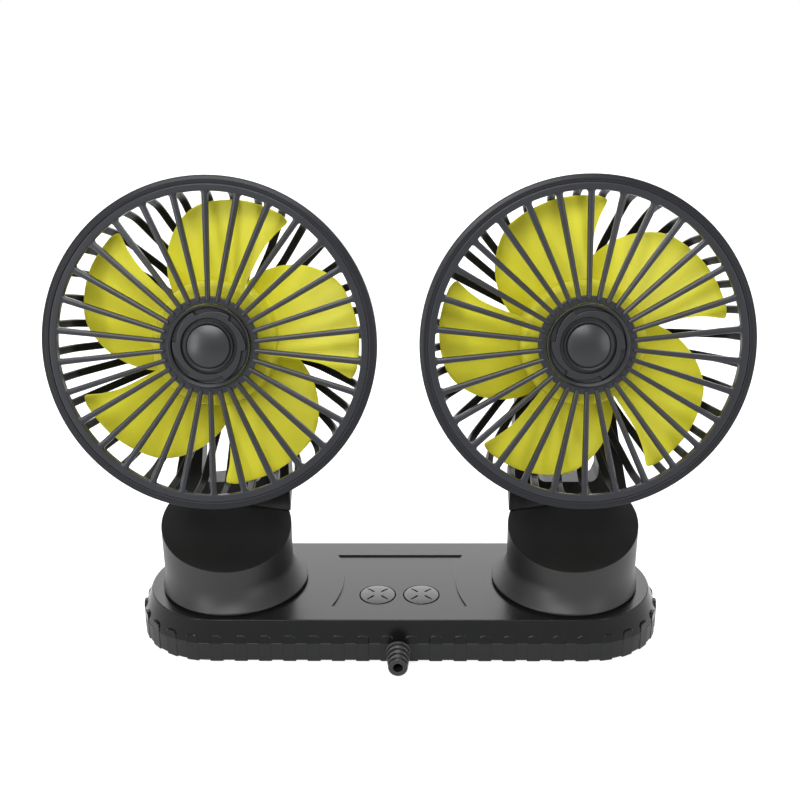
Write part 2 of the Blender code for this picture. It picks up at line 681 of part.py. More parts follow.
def make_turret(side, swivel, drum):
    """Hollow drum with a slanted top and a flared foot, turned on a spigot through the base."""
    name = f"turret_{side}"
    foot = SHELL_TOP + GAP
    edge = TURRET_RADIUS - FOOT_UNDERCUT_WIDTH
    way = SIDES[side]
    top = turret_top(way * TURRET_RADIUS, TURRET_RADIUS, way) + OVERRUN
    flare = [(TURRET_RADIUS, FOOT_LOW + FOOT_RIM + share * FOOT_FLARE) for share in FLARE_SHARES]
    profile = [(TURRET_RADIUS, top), *flare, (TURRET_RADIUS, FOOT_LOW), (edge, FOOT_LOW), (edge, foot),
               (SPIGOT_RADIUS, foot), (SPIGOT_RADIUS, foot - SPIGOT_LENGTH)]
    shape = bmesh.new()
    chain = [shape.verts.new((radius, 0, height)) for radius, height in profile]
    lines = [shape.edges.new(pair) for pair in zip(chain, chain[1:])]
    bmesh.ops.spin(shape, geom=chain + lines, axis=(0, 0, 1), cent=(0, 0, 0), angle=2 * math.pi,
                   steps=TURRET_STEPS, use_merge=True)
    bmesh.ops.remove_doubles(shape, verts=shape.verts, dist=WELD)
    slope = Vector((-TURRET_LEAN * way, -TURRET_SLOPE, 1)).normalized()
    sliced = bmesh.ops.bisect_plane(shape, geom=shape.verts[:] + shape.edges[:] + shape.faces[:],
                                    plane_co=(0, 0, TURRET_TOP_Z), plane_no=slope, clear_outer=True)
    rim = [item for item in sliced["geom_cut"] if isinstance(item, bmesh.types.BMEdge)]
    bmesh.ops.edgenet_fill(shape, edges=rim)
    flare_foot(shape, Vector((-drum[0], 0)))
    turret = add_piece(name, mesh_from(shape, name), "black", parent=swivel, location=drum)
    wall = turret.modifiers.new("Wall", "SOLIDIFY")
    wall.thickness = TURRET_WALL
    wall.offset = -1
    wall.use_even_offset = True


def make_swivel_ring(side, swivel):
    """Retaining ring round the spigot, under the base's top."""
    inner = SPIGOT_RADIUS + GAP
    outer = inner + RETAINER_WIDTH
    high = CEILING - GAP
    low = high - RETAINER_HEIGHT
    name = f"swivel_ring_{side}"
    profile = [(inner, high), (outer, high), (outer, low), (inner, low)]
    turn(add_piece(name, profile_mesh(name, profile, closed=True), "steel", parent=swivel), TURRET_STEPS)


def arm_line(step):
    """Middle of a yoke arm seen from the side: a curve from its foot back and up to the pivot."""
    share = step / ARM_STEPS
    rest = 1 - share
    guides = [(ARM_FOOT_Y, YOKE_LOW), (ARM_LEAN_Y, ARM_LEAN_Z), (ARM_BACK_Y, ARM_BACK_Z), (PIVOT_Y, PIVOT_Z)]
    weights = [rest ** 3, 3 * rest ** 2 * share, 3 * rest * share ** 2, share ** 3]
    return Vector([sum(weight * guide[axis] for weight, guide in zip(weights, guides)) for axis in (0, 1)])


def arm_outline():
    """Side view of an arm: two offset curves and a round eye about the pivot."""
    front, back = [], []
    for step in range(ARM_STEPS):
        here = arm_line(step)
        along = (arm_line(step + 1) - here).normalized()
        across = Vector((-along.y, along.x))
        share = step / ARM_STEPS
        half = ARM_FOOT_HALF_DEPTH + (ARM_HALF_DEPTH - ARM_FOOT_HALF_DEPTH) * share
        if step == 0:
            across = Vector((-1, 0))
        front.append(here + across * half)
        back.append(here - across * half)
    rise = (arm_line(ARM_STEPS) - arm_line(ARM_STEPS - 1)).normalized()
    lean = math.atan2(rise.y, rise.x)
    spread = math.pi - math.asin(ARM_HALF_DEPTH / EYE_RADIUS)
    eye = arc((PIVOT_Y, PIVOT_Z), EYE_RADIUS, lean + spread, lean - spread, EYE_STEPS)
    return front[:-1] + eye + back[-2::-1]


def fork_outline():
    """Front view of the yoke: a foot as broad as the drum, and arms that taper to the eyes round a gap."""
    high = PIVOT_Z + EYE_RADIUS + OVERRUN
    corner = arc((YOKE_HALF_GAP - YOKE_CORNER, YOKE_FLOOR + YOKE_CORNER), YOKE_CORNER, 0, -math.pi / 2,
                 YOKE_CORNER_STEPS)
    right = [(YOKE_FOOT_HALF_WIDTH, YOKE_LOW), (ARM_OUTER, PIVOT_Z - EYE_RADIUS), (ARM_OUTER, high),
             (YOKE_HALF_GAP, high), *corner]
    return right + [(-x, z) for x, z in reversed(right)]


def stand_up(mesh):
    """Lays an outline drawn as depth and height, made thick along Z, into the side view."""
    mesh.transform(Matrix(((0, 0, 1, 0), (1, 0, 0, 0), (0, 1, 0, 0), (0, 0, 0, 1))))
    return mesh


def face_front(mesh):
    """Lays an outline drawn as width and height, made thick along Z, into the front view."""
    mesh.transform(Matrix.Rotation(math.pi / 2, 4, "X"))
    return mesh


def make_yoke(side, swivel, drum):
    """Fork where its side view and its front view meet, cut to sit on the drum's slanted top."""
    name = f"yoke_{side}"
    half = YOKE_FOOT_HALF_WIDTH + OVERRUN
    outline = stand_up(flat_mesh(name, [arm_outline()], -half, half))
    yoke = add_piece(name, outline, "black", parent=swivel, location=drum)
    reach = PIVOT_Y + EYE_RADIUS + OVERRUN
    fork = face_front(flat_mesh("fork", [fork_outline()], -reach, 0))
    boolean(yoke, add_tool(f"{name}_fork", fork, parent=swivel, location=drum), "INTERSECT")
    seat = box_mesh("seat", (-half, -half, -half), (half, half + reach, GAP))
    for vert in seat.vertices:
        vert.co.z += turret_top(vert.co.x, vert.co.y, SIDES[side])
    cut(yoke, add_tool(f"{name}_seat", seat, parent=swivel, location=drum))
    bore = cross_rod_mesh("pin_bore", PIN_RADIUS + GAP, -ARM_OUTER - OVERRUN, ARM_OUTER + OVERRUN, PIN_STEPS)
    cut(yoke, add_tool(f"{name}_bore", bore, parent=swivel, location=(drum[0], PIVOT_Y, PIVOT_Z)))


def make_tilt_pins(side, swivel, drum):
    """Headed pins through the yoke's eyes into the pod."""
    head = ARM_OUTER + GAP
    tip = PIVOT_HALF_WIDTH - PIN_DEPTH
    profile = [(0, head + PIN_HEAD_HEIGHT), (PIN_HEAD_RADIUS, head + PIN_HEAD_HEIGHT),
               (PIN_HEAD_RADIUS, head), (PIN_RADIUS, head), (PIN_RADIUS, tip), (0, tip)]
    for label, way in SIDES.items():
        name = f"tilt_pin_{side}_{label}"
        pin = turn(add_piece(name, profile_mesh(name, profile), "black", parent=swivel,
                             location=(drum[0], PIVOT_Y, PIVOT_Z)), PIN_STEPS)
        pin.rotation_euler = (0, way * math.pi / 2, 0)


def make_motor_housing(side, tilt):
    """Pod behind the cage, with flat bosses that the yoke's eyes rest against."""
    name = f"motor_housing_{side}"
    high = -CAGE_DEPTH - GAP
    profile = [(0, high), (POD_RADIUS, high), (POD_RADIUS, POD_EDGE - POD_BACK),
               (POD_RADIUS - POD_EDGE, -POD_BACK), (0, -POD_BACK)]
    pod = turn(add_piece(name, profile_mesh(name, profile), "black", parent=tilt, location=HEAD_PLACE),
               POD_STEPS)
    boss = cross_rod_mesh("boss", POD_BOSS_RADIUS, -PIVOT_HALF_WIDTH, PIVOT_HALF_WIDTH, PIN_STEPS)
    unite(pod, add_tool(f"{name}_boss", boss, parent=tilt))
    for label, way in SIDES.items():
        ends = sorted((way * (PIVOT_HALF_WIDTH - PIN_DEPTH - GAP), way * (PIVOT_HALF_WIDTH + OVERRUN)))
        bore = cross_rod_mesh("bore", PIN_RADIUS + GAP, *ends, PIN_STEPS)
        cut(pod, add_tool(f"{name}_bore_{label}", bore, parent=tilt))


def make_rear_cage(side, tilt):
    """Bowl of radial ribs between a rim band and the plate that carries the motor."""
    name = f"rear_cage_{side}"
    reach = CAGE_RIM_RADIUS
    drop = CAGE_DEPTH
    profile = [
        (reach, -CAGE_RIM_FRONT),
        (reach, -CAGE_RIM_BACK),
        (reach * CAGE_SHOULDER_RADIUS_SHARE, -drop * CAGE_SHOULDER_DEPTH_SHARE),
        (reach * CAGE_HAUNCH_RADIUS_SHARE, -drop * CAGE_HAUNCH_DEPTH_SHARE),
        (CAGE_PLATE_RADIUS, -drop),
    ]
    shape = bmesh.new()
    chain = [shape.verts.new((radius, 0, height)) for radius, height in profile]
    lines = [shape.edges.new(pair) for pair in zip(chain, chain[1:])]
    bmesh.ops.spin(shape, geom=chain + lines, axis=(0, 0, 1), cent=(0, 0, 0), angle=2 * math.pi,
                   steps=2 * CAGE_RIBS, use_merge=True)
    bmesh.ops.remove_doubles(shape, verts=shape.verts, dist=WELD)
    narrow_ribs(shape)
    slots = [face for face in shape.faces if is_slot(face)]
    inner = [edge for edge in shape.edges
             if all(math.hypot(*vert.co.xy) < CAGE_PLATE_RADIUS + OVERRUN for vert in edge.verts)]
    bmesh.ops.edgenet_fill(shape, edges=inner)
    bmesh.ops.delete(shape, geom=slots, context="FACES")
    cage = add_piece(name, mesh_from(shape, name), "black", parent=tilt, location=HEAD_PLACE)
    wall = cage.modifiers.new("Wall", "SOLIDIFY")
    wall.thickness = CAGE_WALL
    wall.offset = -1
    wall.use_even_offset = True


def narrow_ribs(shape):
    """Draws each pair of neighbouring columns together to one rib's width."""
    pitch = 2 * math.pi / CAGE_RIBS
    for vert in shape.verts:
        radius = math.hypot(vert.co.x, vert.co.y)
        column = round(math.atan2(vert.co.y, vert.co.x) % (2 * math.pi) / (pitch / 2)) % (2 * CAGE_RIBS)
        middle = (column // 2 + 1 / 4) * pitch
        way = 2 * (column % 2) - 1
        turned = middle + way * math.asin(CAGE_RIB_WIDTH / 2 / radius)
        vert.co.x = radius * math.cos(turned)
        vert.co.y = radius * math.sin(turned)


def is_slot(face):
    """Whether a face lies between two ribs, behind the rim band."""
    middle = face.calc_center_median()
    pitch = 2 * math.pi / CAGE_RIBS
    turn_share = (math.atan2(middle.y, middle.x) / pitch) % 1
    return abs(turn_share - 1 / 4) > 1 / 4 and middle.z < -CAGE_RIM_BACK


def make_motor(side, tilt):
    """Motor can on the cage's plate, its nose bored for the shaft."""
    name = f"motor_can_{side}"
    nose = MOTOR_NOSE - MOTOR_FRONT
    floor = nose - SHAFT_SINK - GAP
    bore = SHAFT_RADIUS + GAP
    low = GAP - CAGE_INNER
    profile = [(0, floor), (bore, floor), (bore, nose), (MOTOR_NOSE_RADIUS, nose),
               (MOTOR_NOSE_RADIUS, -MOTOR_FRONT), (MOTOR_RADIUS - MOTOR_EDGE, -MOTOR_FRONT),
               (MOTOR_RADIUS, -MOTOR_FRONT - MOTOR_EDGE), (MOTOR_RADIUS, low), (0, low)]
    turn(add_piece(name, profile_mesh(name, profile), "steel", parent=tilt, location=HEAD_PLACE), POD_STEPS)


def make_shaft(side, spin):
    name = f"motor_shaft_{side}"
    high = -FAN_HUB_FRONT - FAN_HUB_WALL - GAP
    low = MOTOR_NOSE - MOTOR_FRONT - SHAFT_SINK
    profile = [(0, high), (SHAFT_RADIUS, high), (SHAFT_RADIUS, low), (0, low)]
    turn(add_piece(name, profile_mesh(name, profile), "steel", parent=spin), SHAFT_STEPS)


def blade_point(radius, turned):
    """A place on a blade: one constant pitch for the whole fan, so the pitch angle falls towards the tip."""
    height = -FAN_MIDDLE + FAN_PITCH * (turned + BLADE_LEAN)
    return radius * math.sin(turned), radius * math.cos(turned), height


def blades_mesh(name, first_tip):
    """All blades as open skins, each woven from its own outline."""
    shape = bmesh.new()
    for blade in range(FAN_BLADES):
        offset = first_tip - BLADE_TIP + blade * 2 * math.pi / FAN_BLADES
        rows = []
        for span, start, end in BLADE_EDGE_SHARES:
            radius = BLADE_ROOT_RADIUS + (FAN_RADIUS - BLADE_ROOT_RADIUS) * span
            row = []
            for cell in range(BLADE_CHORD_CELLS + 1):
                turned = BLADE_TIP * (start + (end - start) * cell / BLADE_CHORD_CELLS)
                x, y, z = blade_point(radius, turned)
                row.append(shape.verts.new(Matrix.Rotation(-offset, 3, "Z") @ Vector((x, y, z))))
            rows.append(row)
        for low, high in zip(rows, rows[1:]):
            for corner in range(BLADE_CHORD_CELLS):
                shape.faces.new((low[corner], low[corner + 1], high[corner + 1], high[corner]))
    return mesh_from(shape, name)


def make_impeller(side, spin):
    """Hub cup with the shaft's boss, and the blades joined on."""
    name = f"impeller_{side}"
    front = -FAN_HUB_FRONT
    back = -FAN_HUB_BACK
    bore = SHAFT_RADIUS + GAP
    inner = FAN_HUB_RADIUS - FAN_HUB_WALL
    sink = front - FAN_HUB_WALL
    profile = [(0, front), (FAN_HUB_RADIUS - FAN_HUB_EDGE, front),
               (FAN_HUB_RADIUS, front - FAN_HUB_EDGE), (FAN_HUB_RADIUS, back), (inner, back),
               (inner, sink), (FAN_BOSS_RADIUS, sink),
               (FAN_BOSS_RADIUS, back), (bore, back), (bore, sink), (0, sink)]
    hub = turn(add_piece(name, profile_mesh(name, profile), "blade", parent=spin), FAN_STEPS)
    blades = add_tool(f"{name}_blades", blades_mesh("blades", FAN_FIRST_TIP[side]), parent=spin)
    skin = blades.modifiers.new("Thickness", "SOLIDIFY")
    skin.thickness = BLADE_THICKNESS
    skin.offset = 0
    unite(hub, blades)


def guard_slot(middle):
    """Opening between two ribs: wide at the rim, narrow and blunt at the hub."""
    half_pitch = math.pi / GUARD_RIBS
    low = half_pitch - math.asin(GUARD_RIB_INNER / 2 / GUARD_HUB_RADIUS)
    high = half_pitch - math.asin(GUARD_RIB_OUTER / 2 / GUARD_OPENING)
    return (arc((0, 0), GUARD_OPENING, middle - high, middle + high, 1)
            + arc((0, 0), GUARD_HUB_RADIUS, middle + low, middle - low, 1))


def make_front_guard(side, tilt):
    """Flat grille of straight ribs round an open hub, with a lip behind its rim."""
    name = f"front_guard_{side}"
    pitch = 2 * math.pi / GUARD_RIBS
    slots = [guard_slot(math.pi / 2 + (rib + 1 / 2) * pitch) for rib in range(GUARD_RIBS)]
    outlines = [circle(GUARD_RADIUS, GUARD_STEPS), circle(HUB_RING_RADIUS + GAP, HUB_STEPS), *slots]
    guard = add_piece(name, flat_mesh(name, outlines, -GUARD_THICKNESS, 0), "charcoal", parent=tilt,
                      location=HEAD_PLACE)
    outer = GUARD_RADIUS - GUARD_SEAM
    inner = outer - GUARD_WALL
    high = -GUARD_THICKNESS / 2
    profile = [(inner, high), (outer, high), (outer, -GUARD_LIP), (inner, -GUARD_LIP)]
    lip = add_tool(f"{name}_lip", profile_mesh("lip", profile, closed=True), parent=tilt,
                   location=HEAD_PLACE)
    unite(guard, turn(lip, GUARD_STEPS))


def vane_outline():
    """Ratchet-like ring: each vane tapers and then steps out again."""
    points = []
    pitch = 2 * math.pi / VANE_COUNT
    for vane in range(VANE_COUNT):
        for step in range(VANE_ARC_STEPS + 1):
            share = step / VANE_ARC_STEPS
            radius = VANE_OUTER - VANE_STEP * share
            turned = (vane + share * VANE_FILL_SHARE) * pitch
            points.append((radius * math.cos(turned), radius * math.sin(turned)))
    return points


def make_hub_ring(side, tilt):
    """Round insert of the guard, with a raised edge and a ring of stepped vanes."""
    name = f"hub_ring_{side}"
    inner = HUB_RING_RADIUS - HUB_RING_WIDTH
    floor = -HUB_FLOOR_DEPTH
    profile = [(0, floor), (inner, floor), (inner, HUB_RING_PROUD),
               (HUB_RING_RADIUS - HUB_RING_WIDTH / 3, HUB_RING_PROUD), (HUB_RING_RADIUS, HUB_RING_PROUD / 3),
               (HUB_RING_RADIUS, -HUB_BACK), (0, -HUB_BACK)]
    ring = turn(add_piece(name, profile_mesh(name, profile), "charcoal", parent=tilt, location=HEAD_PLACE),
                HUB_STEPS)
    vanes = flat_mesh("vanes", [vane_outline(), circle(VANE_INNER, HUB_STEPS)],
                      floor - HUB_FLOOR_DEPTH / 3, floor + VANE_HEIGHT)
    unite(ring, add_tool(f"{name}_vanes", vanes, parent=tilt, location=HEAD_PLACE))


def make_hub_cap(side, tilt):
    """Domed cap with a raised rim, seated on the hub ring's floor."""
    name = f"hub_cap_{side}"
    low = GAP - HUB_FLOOR_DEPTH
    top = low + CAP_HEIGHT
    dome_radius = CAP_RADIUS - CAP_RIM
    dome = [(share * dome_radius, top + CAP_DOME * (1 - share * share) - CAP_RIM / 3)
            for share in DOME_SHARES]
    profile = [*dome, (dome_radius, top), (CAP_RADIUS - CAP_RIM / 3, top), (CAP_RADIUS, top - CAP_RIM / 3),
               (CAP_RADIUS, low), (0, low)]
    turn(add_piece(name, profile_mesh(name, profile), "charcoal", parent=tilt, location=HEAD_PLACE),
         HUB_STEPS)


def make_head(side, way):
    """One turret with its yoke and head, on empties that mark the three joint axes."""
    swivel = add_axis(f"swivel_axis_{side}", (way * SWIVEL_X, 0, 0))
    drum = (way * SWIVEL_INSET, 0, 0)
    face_up = (math.pi / 2 - HEAD_TILT, 0, 0)
    tilt = add_axis(f"tilt_axis_{side}", (drum[0], PIVOT_Y, PIVOT_Z), swivel, face_up)
    spin = add_axis(f"spin_axis_{side}", HEAD_PLACE, tilt)
    make_turret(side, swivel, drum)
    make_swivel_ring(side, swivel)
    make_yoke(side, swivel, drum)
    make_tilt_pins(side, swivel, drum)
    make_motor_housing(side, tilt)
    make_rear_cage(side, tilt)
    make_motor(side, tilt)
    make_front_guard(side, tilt)
    make_hub_ring(side, tilt)
    make_hub_cap(side, tilt)
    make_shaft(side, spin)
    make_impeller(side, spin)


def make_base():
    make_tray()
    make_grip_pad()
    make_shell()
    make_cover_screws()
    make_circuit_board()
    for side, way in SIDES.items():
        make_switch(f"switch_{side}", way * BUTTON_X)
        make_button(f"button_{side}", way * BUTTON_X)
    make_cable_boot()


clear_scene()
parts = new_collection("usb_dual_fan")
tools = new_collection("shaping_tools")
make_base()
for side_name, side_way in SIDES.items():
    make_head(side_name, side_way)
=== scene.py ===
"""Looks of the twin desk fan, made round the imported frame.

Metres, +Z up, front towards -Y, all in the frame's own coordinates. Each head is drawn in its own
coordinates first: +Z points out of the front guard, and the rim's front plane is at zero.
"""
import json
import math

import bmesh
import bpy
from mathutils import Matrix, Vector


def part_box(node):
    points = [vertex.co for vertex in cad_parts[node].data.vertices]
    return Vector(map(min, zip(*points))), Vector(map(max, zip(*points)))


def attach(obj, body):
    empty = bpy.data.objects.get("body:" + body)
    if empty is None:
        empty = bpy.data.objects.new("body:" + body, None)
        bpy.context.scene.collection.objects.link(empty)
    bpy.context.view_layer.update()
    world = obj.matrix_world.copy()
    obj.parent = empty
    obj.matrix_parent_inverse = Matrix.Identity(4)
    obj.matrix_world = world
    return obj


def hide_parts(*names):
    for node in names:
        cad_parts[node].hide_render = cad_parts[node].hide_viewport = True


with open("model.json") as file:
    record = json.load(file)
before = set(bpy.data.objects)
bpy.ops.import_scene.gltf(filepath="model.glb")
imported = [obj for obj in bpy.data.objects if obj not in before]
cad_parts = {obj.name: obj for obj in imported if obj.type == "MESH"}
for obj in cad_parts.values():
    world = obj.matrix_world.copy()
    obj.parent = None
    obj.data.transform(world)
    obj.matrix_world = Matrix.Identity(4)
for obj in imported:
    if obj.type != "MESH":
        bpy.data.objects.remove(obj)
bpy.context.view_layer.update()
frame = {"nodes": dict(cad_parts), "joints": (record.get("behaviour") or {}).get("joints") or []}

JOINTS = {joint["name"]: joint for joint in frame["joints"]}
SIDES = {"left": -1, "right": 1}
ORIGIN = Matrix.Identity(4)
QUARTER = math.pi / 2
TINY = 0.00001
OVERRUN = 0.001
FILLET_STEPS = 4
CORNER_STEPS = 8
BEVEL_SEGMENTS = 3
SHARP_ANGLE = math.radians(32)

# Sizes of rounded corners that many outlines share
FINE_EDGE = 0.0002
SMALL_EDGE = 0.0003
PLAIN_EDGE = 0.0004
BROAD_EDGE = 0.0005
INNER_EDGE = 0.0010

# Grain, clouds and gloss that the finishes share
PLAIN_SPECULAR = 0.5
GRAIN_DEPTH = 0.00002
GRAIN_SCALE = 2600
GRAIN_DETAIL = 2
GRAIN_STRENGTH = 0.6
CLOUD_SCALE = 55
CLOUD_DETAIL = 3
MOTTLE_SHARE = 0.12
GLOSS_SPREAD_SHARE = 0.12
COAT_ROUGHNESS = 0.12
GLOW_REACH = (0.004, 0.004, 0.001)
GLOW_SCALE = 0.4

# Base outline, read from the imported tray
TRAY_LOW, TRAY_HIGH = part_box("base_tray")
BASE_RADIUS = TRAY_HIGH.y
HALF_STRAIGHT = TRAY_HIGH.x - BASE_RADIUS
END_STEPS = 36
STRAIGHT_STEPS = 24

# Upper shell
SHELL_LOW, SHELL_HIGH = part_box("base_shell")
SHELL_TOP = SHELL_HIGH.z
SHELL_LIP = 0.0040
SHELL_LEAN = 0.0037
SHELL_EDGE = 0.0005
SHELL_EDGE_SHARE = 0.3
PANEL_DEPTH = 0.0007
PANEL_BACK = 0.0203
PANEL_FRONT = -0.0214
PANEL_HALF_WIDTH = 0.0272
PANEL_WAIST = 0.0233
PANEL_ARC_STEPS = 24
PANEL_EDGE = 0.00018
# Faces steeper than this take the darker wall finish: painted shade
WALL_FACING = 0.6

# Tray band and its clasping tabs
BAND_TOP = 0.0091
BAND_INSET = 0.00022
TAB_COUNT = 52
TAB_WIDTH = 0.0053
TAB_CORNER = 0.0017
TAB_EDGE = 0.0003
TAB_ROOT = 0.0012
TAB_LEAN = 0.0002
TAB_RELIEF = 0.0004

# Push buttons
BUTTON_RADIUS = 0.0071
BUTTON_HOLE = BUTTON_RADIUS + 0.0004
BUTTON_EDGE = 0.0004
BUTTON_DOME = 0.0004
BUTTON_DOME_SHARES = (0.35, 0.6, 0.8)
BUTTON_GROOVES = 4
BUTTON_GROOVE_WIDTH = 0.0009
BUTTON_GROOVE_START = 0.0024
BUTTON_GROOVE_END = 0.0055
BUTTON_GROOVE_DEPTH = 0.00035
BUTTON_STEPS = 64

# Turret drum on its flared foot
TURRET_RADIUS = 0.0265
TURRET_TOP_Z = 0.0466
TURRET_SLOPE = 0.325
TURRET_LEAN = 0.09
TURRET_EDGE = 0.00035
# Faces of the slanted cut take the near-black finish: painted shade under the head
CUT_FACING = 0.99
FOOT_RADIUS = 0.0300
FOOT_RIM = 0.0006
FOOT_FLARE = 0.0090
FOOT_GAP = 0.0009
FOOT_STEPS = 8
TURRET_STEPS = 144

# Yoke
YOKE_LOW = TURRET_TOP_Z - TURRET_LEAN * TURRET_RADIUS
YOKE_HALF_GAP = 0.0133
YOKE_FLOOR = 0.0568
YOKE_CORNER = 0.0040
YOKE_HALF_WIDTH = 0.0259
YOKE_EDGE = 0.0007
YOKE_SEAT_GAP = 0.0003
ARM_OUTER = 0.0183
ARM_HALF_DEPTH = 0.0042
ARM_FOOT_HALF_DEPTH = 0.0056
ARM_FOOT_Y = 0.0120
ARM_LEAN_Y = 0.0280
ARM_LEAN_Z = 0.0590
ARM_BACK_Y = 0.0470
ARM_BACK_Z = 0.0860
ARM_STEPS = 20
EYE_RADIUS = 0.0062
EYE_STEPS = 24
PIN_HEAD_RADIUS = 0.0038
PIN_HEAD_HEIGHT = 0.0013

# Front guard
GUARD_RADIUS = 0.0633
GUARD_STEP_RADIUS = 0.0604
GUARD_OPENING = 0.0574
GUARD_GROOVE = 0.0004
GUARD_DROP = 0.0006
GUARD_LIP = 0.0060
GUARD_THICKNESS = 0.0024
GUARD_WALL = 0.0019
GUARD_RIBS = 30
RIB_OUTER_HALF = 0.0012
RIB_INNER_HALF = 0.00085
RIB_FILLET = 0.0013
RIB_START = 0.0170
RIB_OVERLAP = 0.0002
RIB_HEIGHT = 0.0022
RIB_START_STEPS = (0.00012, 0.0005, 0.0012)
RIB_MIDDLE_SHARES = (0.15, 0.4, 0.65, 0.85)
RIB_FILLET_SHARES = (1.3, 1, 0.75, 0.5, 0.3, 0.15, 0.05, 0)
RIB_NOSE_SHARE = 0.05
RIB_TOP_SHARES = [(1, -0.30), (0.82, -0.12), (0.25, 0), (-0.25, 0), (-0.82, -0.12), (-1, -0.30)]
COLLAR_RADIUS = 0.0187
COLLAR_SINK = 0.0009
COLLAR_GAP = 0.0002
GUARD_STEPS = 180

# Hub ring, vanes and cap
HUB_RADIUS = 0.0157
HUB_FLOOR = 0.0018
HUB_BACK = 0.0026
BEAD_WIDTH = 0.0014
BEAD_TOP = 0.0010
BEAD_LIP = 0.0003
VANE_COUNT = 6
VANE_OUTER = 0.0139
VANE_STEP = 0.0017
VANE_INNER = 0.0105
VANE_TOP = 0.0002
VANE_STEPS = 180
VANE_RUN_SHARE = 0.86
VANE_RISE_SHARE = 0.04
VANE_ROUND = 0.0001
CAP_RADIUS = 0.0092
CAP_DOME_RADIUS = 0.0079
CAP_DOME_RISE = 0.0013
CAP_GROOVE = 0.0005
CAP_LIP = 0.00012
DOME_STEPS = 12
CAP_BASE = 0.0015
CAP_RIM_TOP = 0.0012
CAP_TOP = 0.0021
HUB_STEPS = 96

# Impeller, depths behind the rim plane
FAN_RADIUS = 0.0560
FAN_BLADES = 5
FAN_MIDDLE = 0.0205
FAN_PITCH = 0.0136
FAN_HUB_RADIUS = 0.0245
FAN_HUB_FRONT = 0.0100
FAN_HUB_BACK = 0.0295
FAN_HUB_WALL = 0.0016
FAN_HUB_EDGE = 0.0030
FAN_BOSS_RADIUS = 0.0034
FAN_BORE = 0.0013
BLADE_ROOT_RADIUS = 0.0232
BLADE_TIP_TURN = math.radians(33.5)
BLADE_LEAN_SHARE = 0.3
BLADE_HALF_THICKNESS = 0.0006
BLADE_ROW_POWER = 1.6
BLADE_TIP_EASE = 1.2
BLADE_EDGE_EASE = 12
BLADE_ROWS = 36
BLADE_COLUMNS = 22
FAN_FIRST_TIP = {"left": math.radians(33.5), "right": math.radians(9.0)}
# Span of the blade, then the turn of its two edges, as shares of the tip's turn
BLADE_EDGE_SHARES = [
    (0.00, -1.49, 0.89),
    (0.26, -1.21, 0.86),
    (0.54, -0.87, 0.86),
    (0.76, -0.55, 0.91),
    (0.92, -0.22, 0.965),
    (0.97, 0.10, 0.955),
    (1.00, 0.42, 0.86),
]

# Rear cage, motor and pod, depths behind the rim plane
CAGE_RADIUS = 0.0605
CAGE_RIM_FRONT = 0.0030
CAGE_RIM_BACK = 0.0072
CAGE_DEPTH = 0.0465
CAGE_PLATE_RADIUS = 0.0160
CAGE_RIBS = 36
CAGE_RIB_HALF = 0.0015
CAGE_RIB_DEPTH = 0.0017
CAGE_RIB_SINK = 0.0012
CAGE_RIB_OVERLAP = 0.002
CAGE_RIB_SHARES = [(-1, 0.25), (-0.75, 0), (0.75, 0), (1, 0.25), (1, 0.8), (0.75, 1), (-0.75, 1), (-1, 0.8)]
CAGE_RIM_WALL = 0.0018
CAGE_PLATE = 0.002
CAGE_SHOULDER = (0.0581, 0.0209)
CAGE_HAUNCH = (0.0393, 0.0428)
CAGE_BEND = 0.0050
POD_RADIUS = 0.0125
POD_BACK = 0.0610
POD_EDGE = 0.0036
POD_BOSS_RADIUS = 0.0062
MOTOR_RADIUS = 0.0120
MOTOR_FRONT = 0.0315
MOTOR_NOSE_RADIUS = 0.0035
MOTOR_NOSE = 0.0012
MOTOR_BACK = 0.0442
MOTOR_EDGE = 0.0012

# Cable boot
BOOT_X = -0.0004
BOOT_HEIGHT = 0.0054
BOOT_LENGTH = 0.0108
BOOT_ROOT_RADIUS = 0.0050
BOOT_TIP_RADIUS = 0.0038
BOOT_RIB_DEPTH = 0.0007
BOOT_RIBS = 4
BOOT_RIB_SHARES = [(0, 0.25), (0.12, 0), (0.52, 0), (0.62, 1), (0.9, 1)]
BOOT_BORE_RADIUS = 0.0019
BOOT_BORE_DEPTH = 0.0060
BOOT_STEPS = 48

# The photograph's camera
CAMERA_PLACE = (0.004425, -0.37716, 0.24028)
CAMERA_PITCH = math.radians(20.387)
CAMERA_YAW = math.radians(-0.601)
CAMERA_ROLL = math.radians(0.282)
CAMERA_LENS = 45.96
CAMERA_SENSOR = 36.0

# Stage and lamps: name, place, width and height, watts
WORLD_LIGHT = 0.55
FLOOR_GLOW = 0.80
FLOOR_GREY = 0.45
FLOOR_SIZE = 6.0
LAMP_TARGET = (0, 0, 0.08)
SOFTBOXES = [
    ("softbox_left", (-0.80, -0.98, 0.36), (0.12, 0.7), 5),
    ("softbox_right", (0.84, -0.90, 0.36), (0.10, 0.6), 2.5),
    ("softbox_front", (-0.2, -1.0, 1.05), (0.9, 0.4), 13),
    ("softbox_top", (0, 0.2, 1.3), (1.3, 0.7), 11),
    ("softbox_back", (0, 1.7, 0.85), (3.0, 1.5), 34),
]

group = bpy.data.collections.new("fine_pieces")
bpy.context.scene.collection.children.link(group)


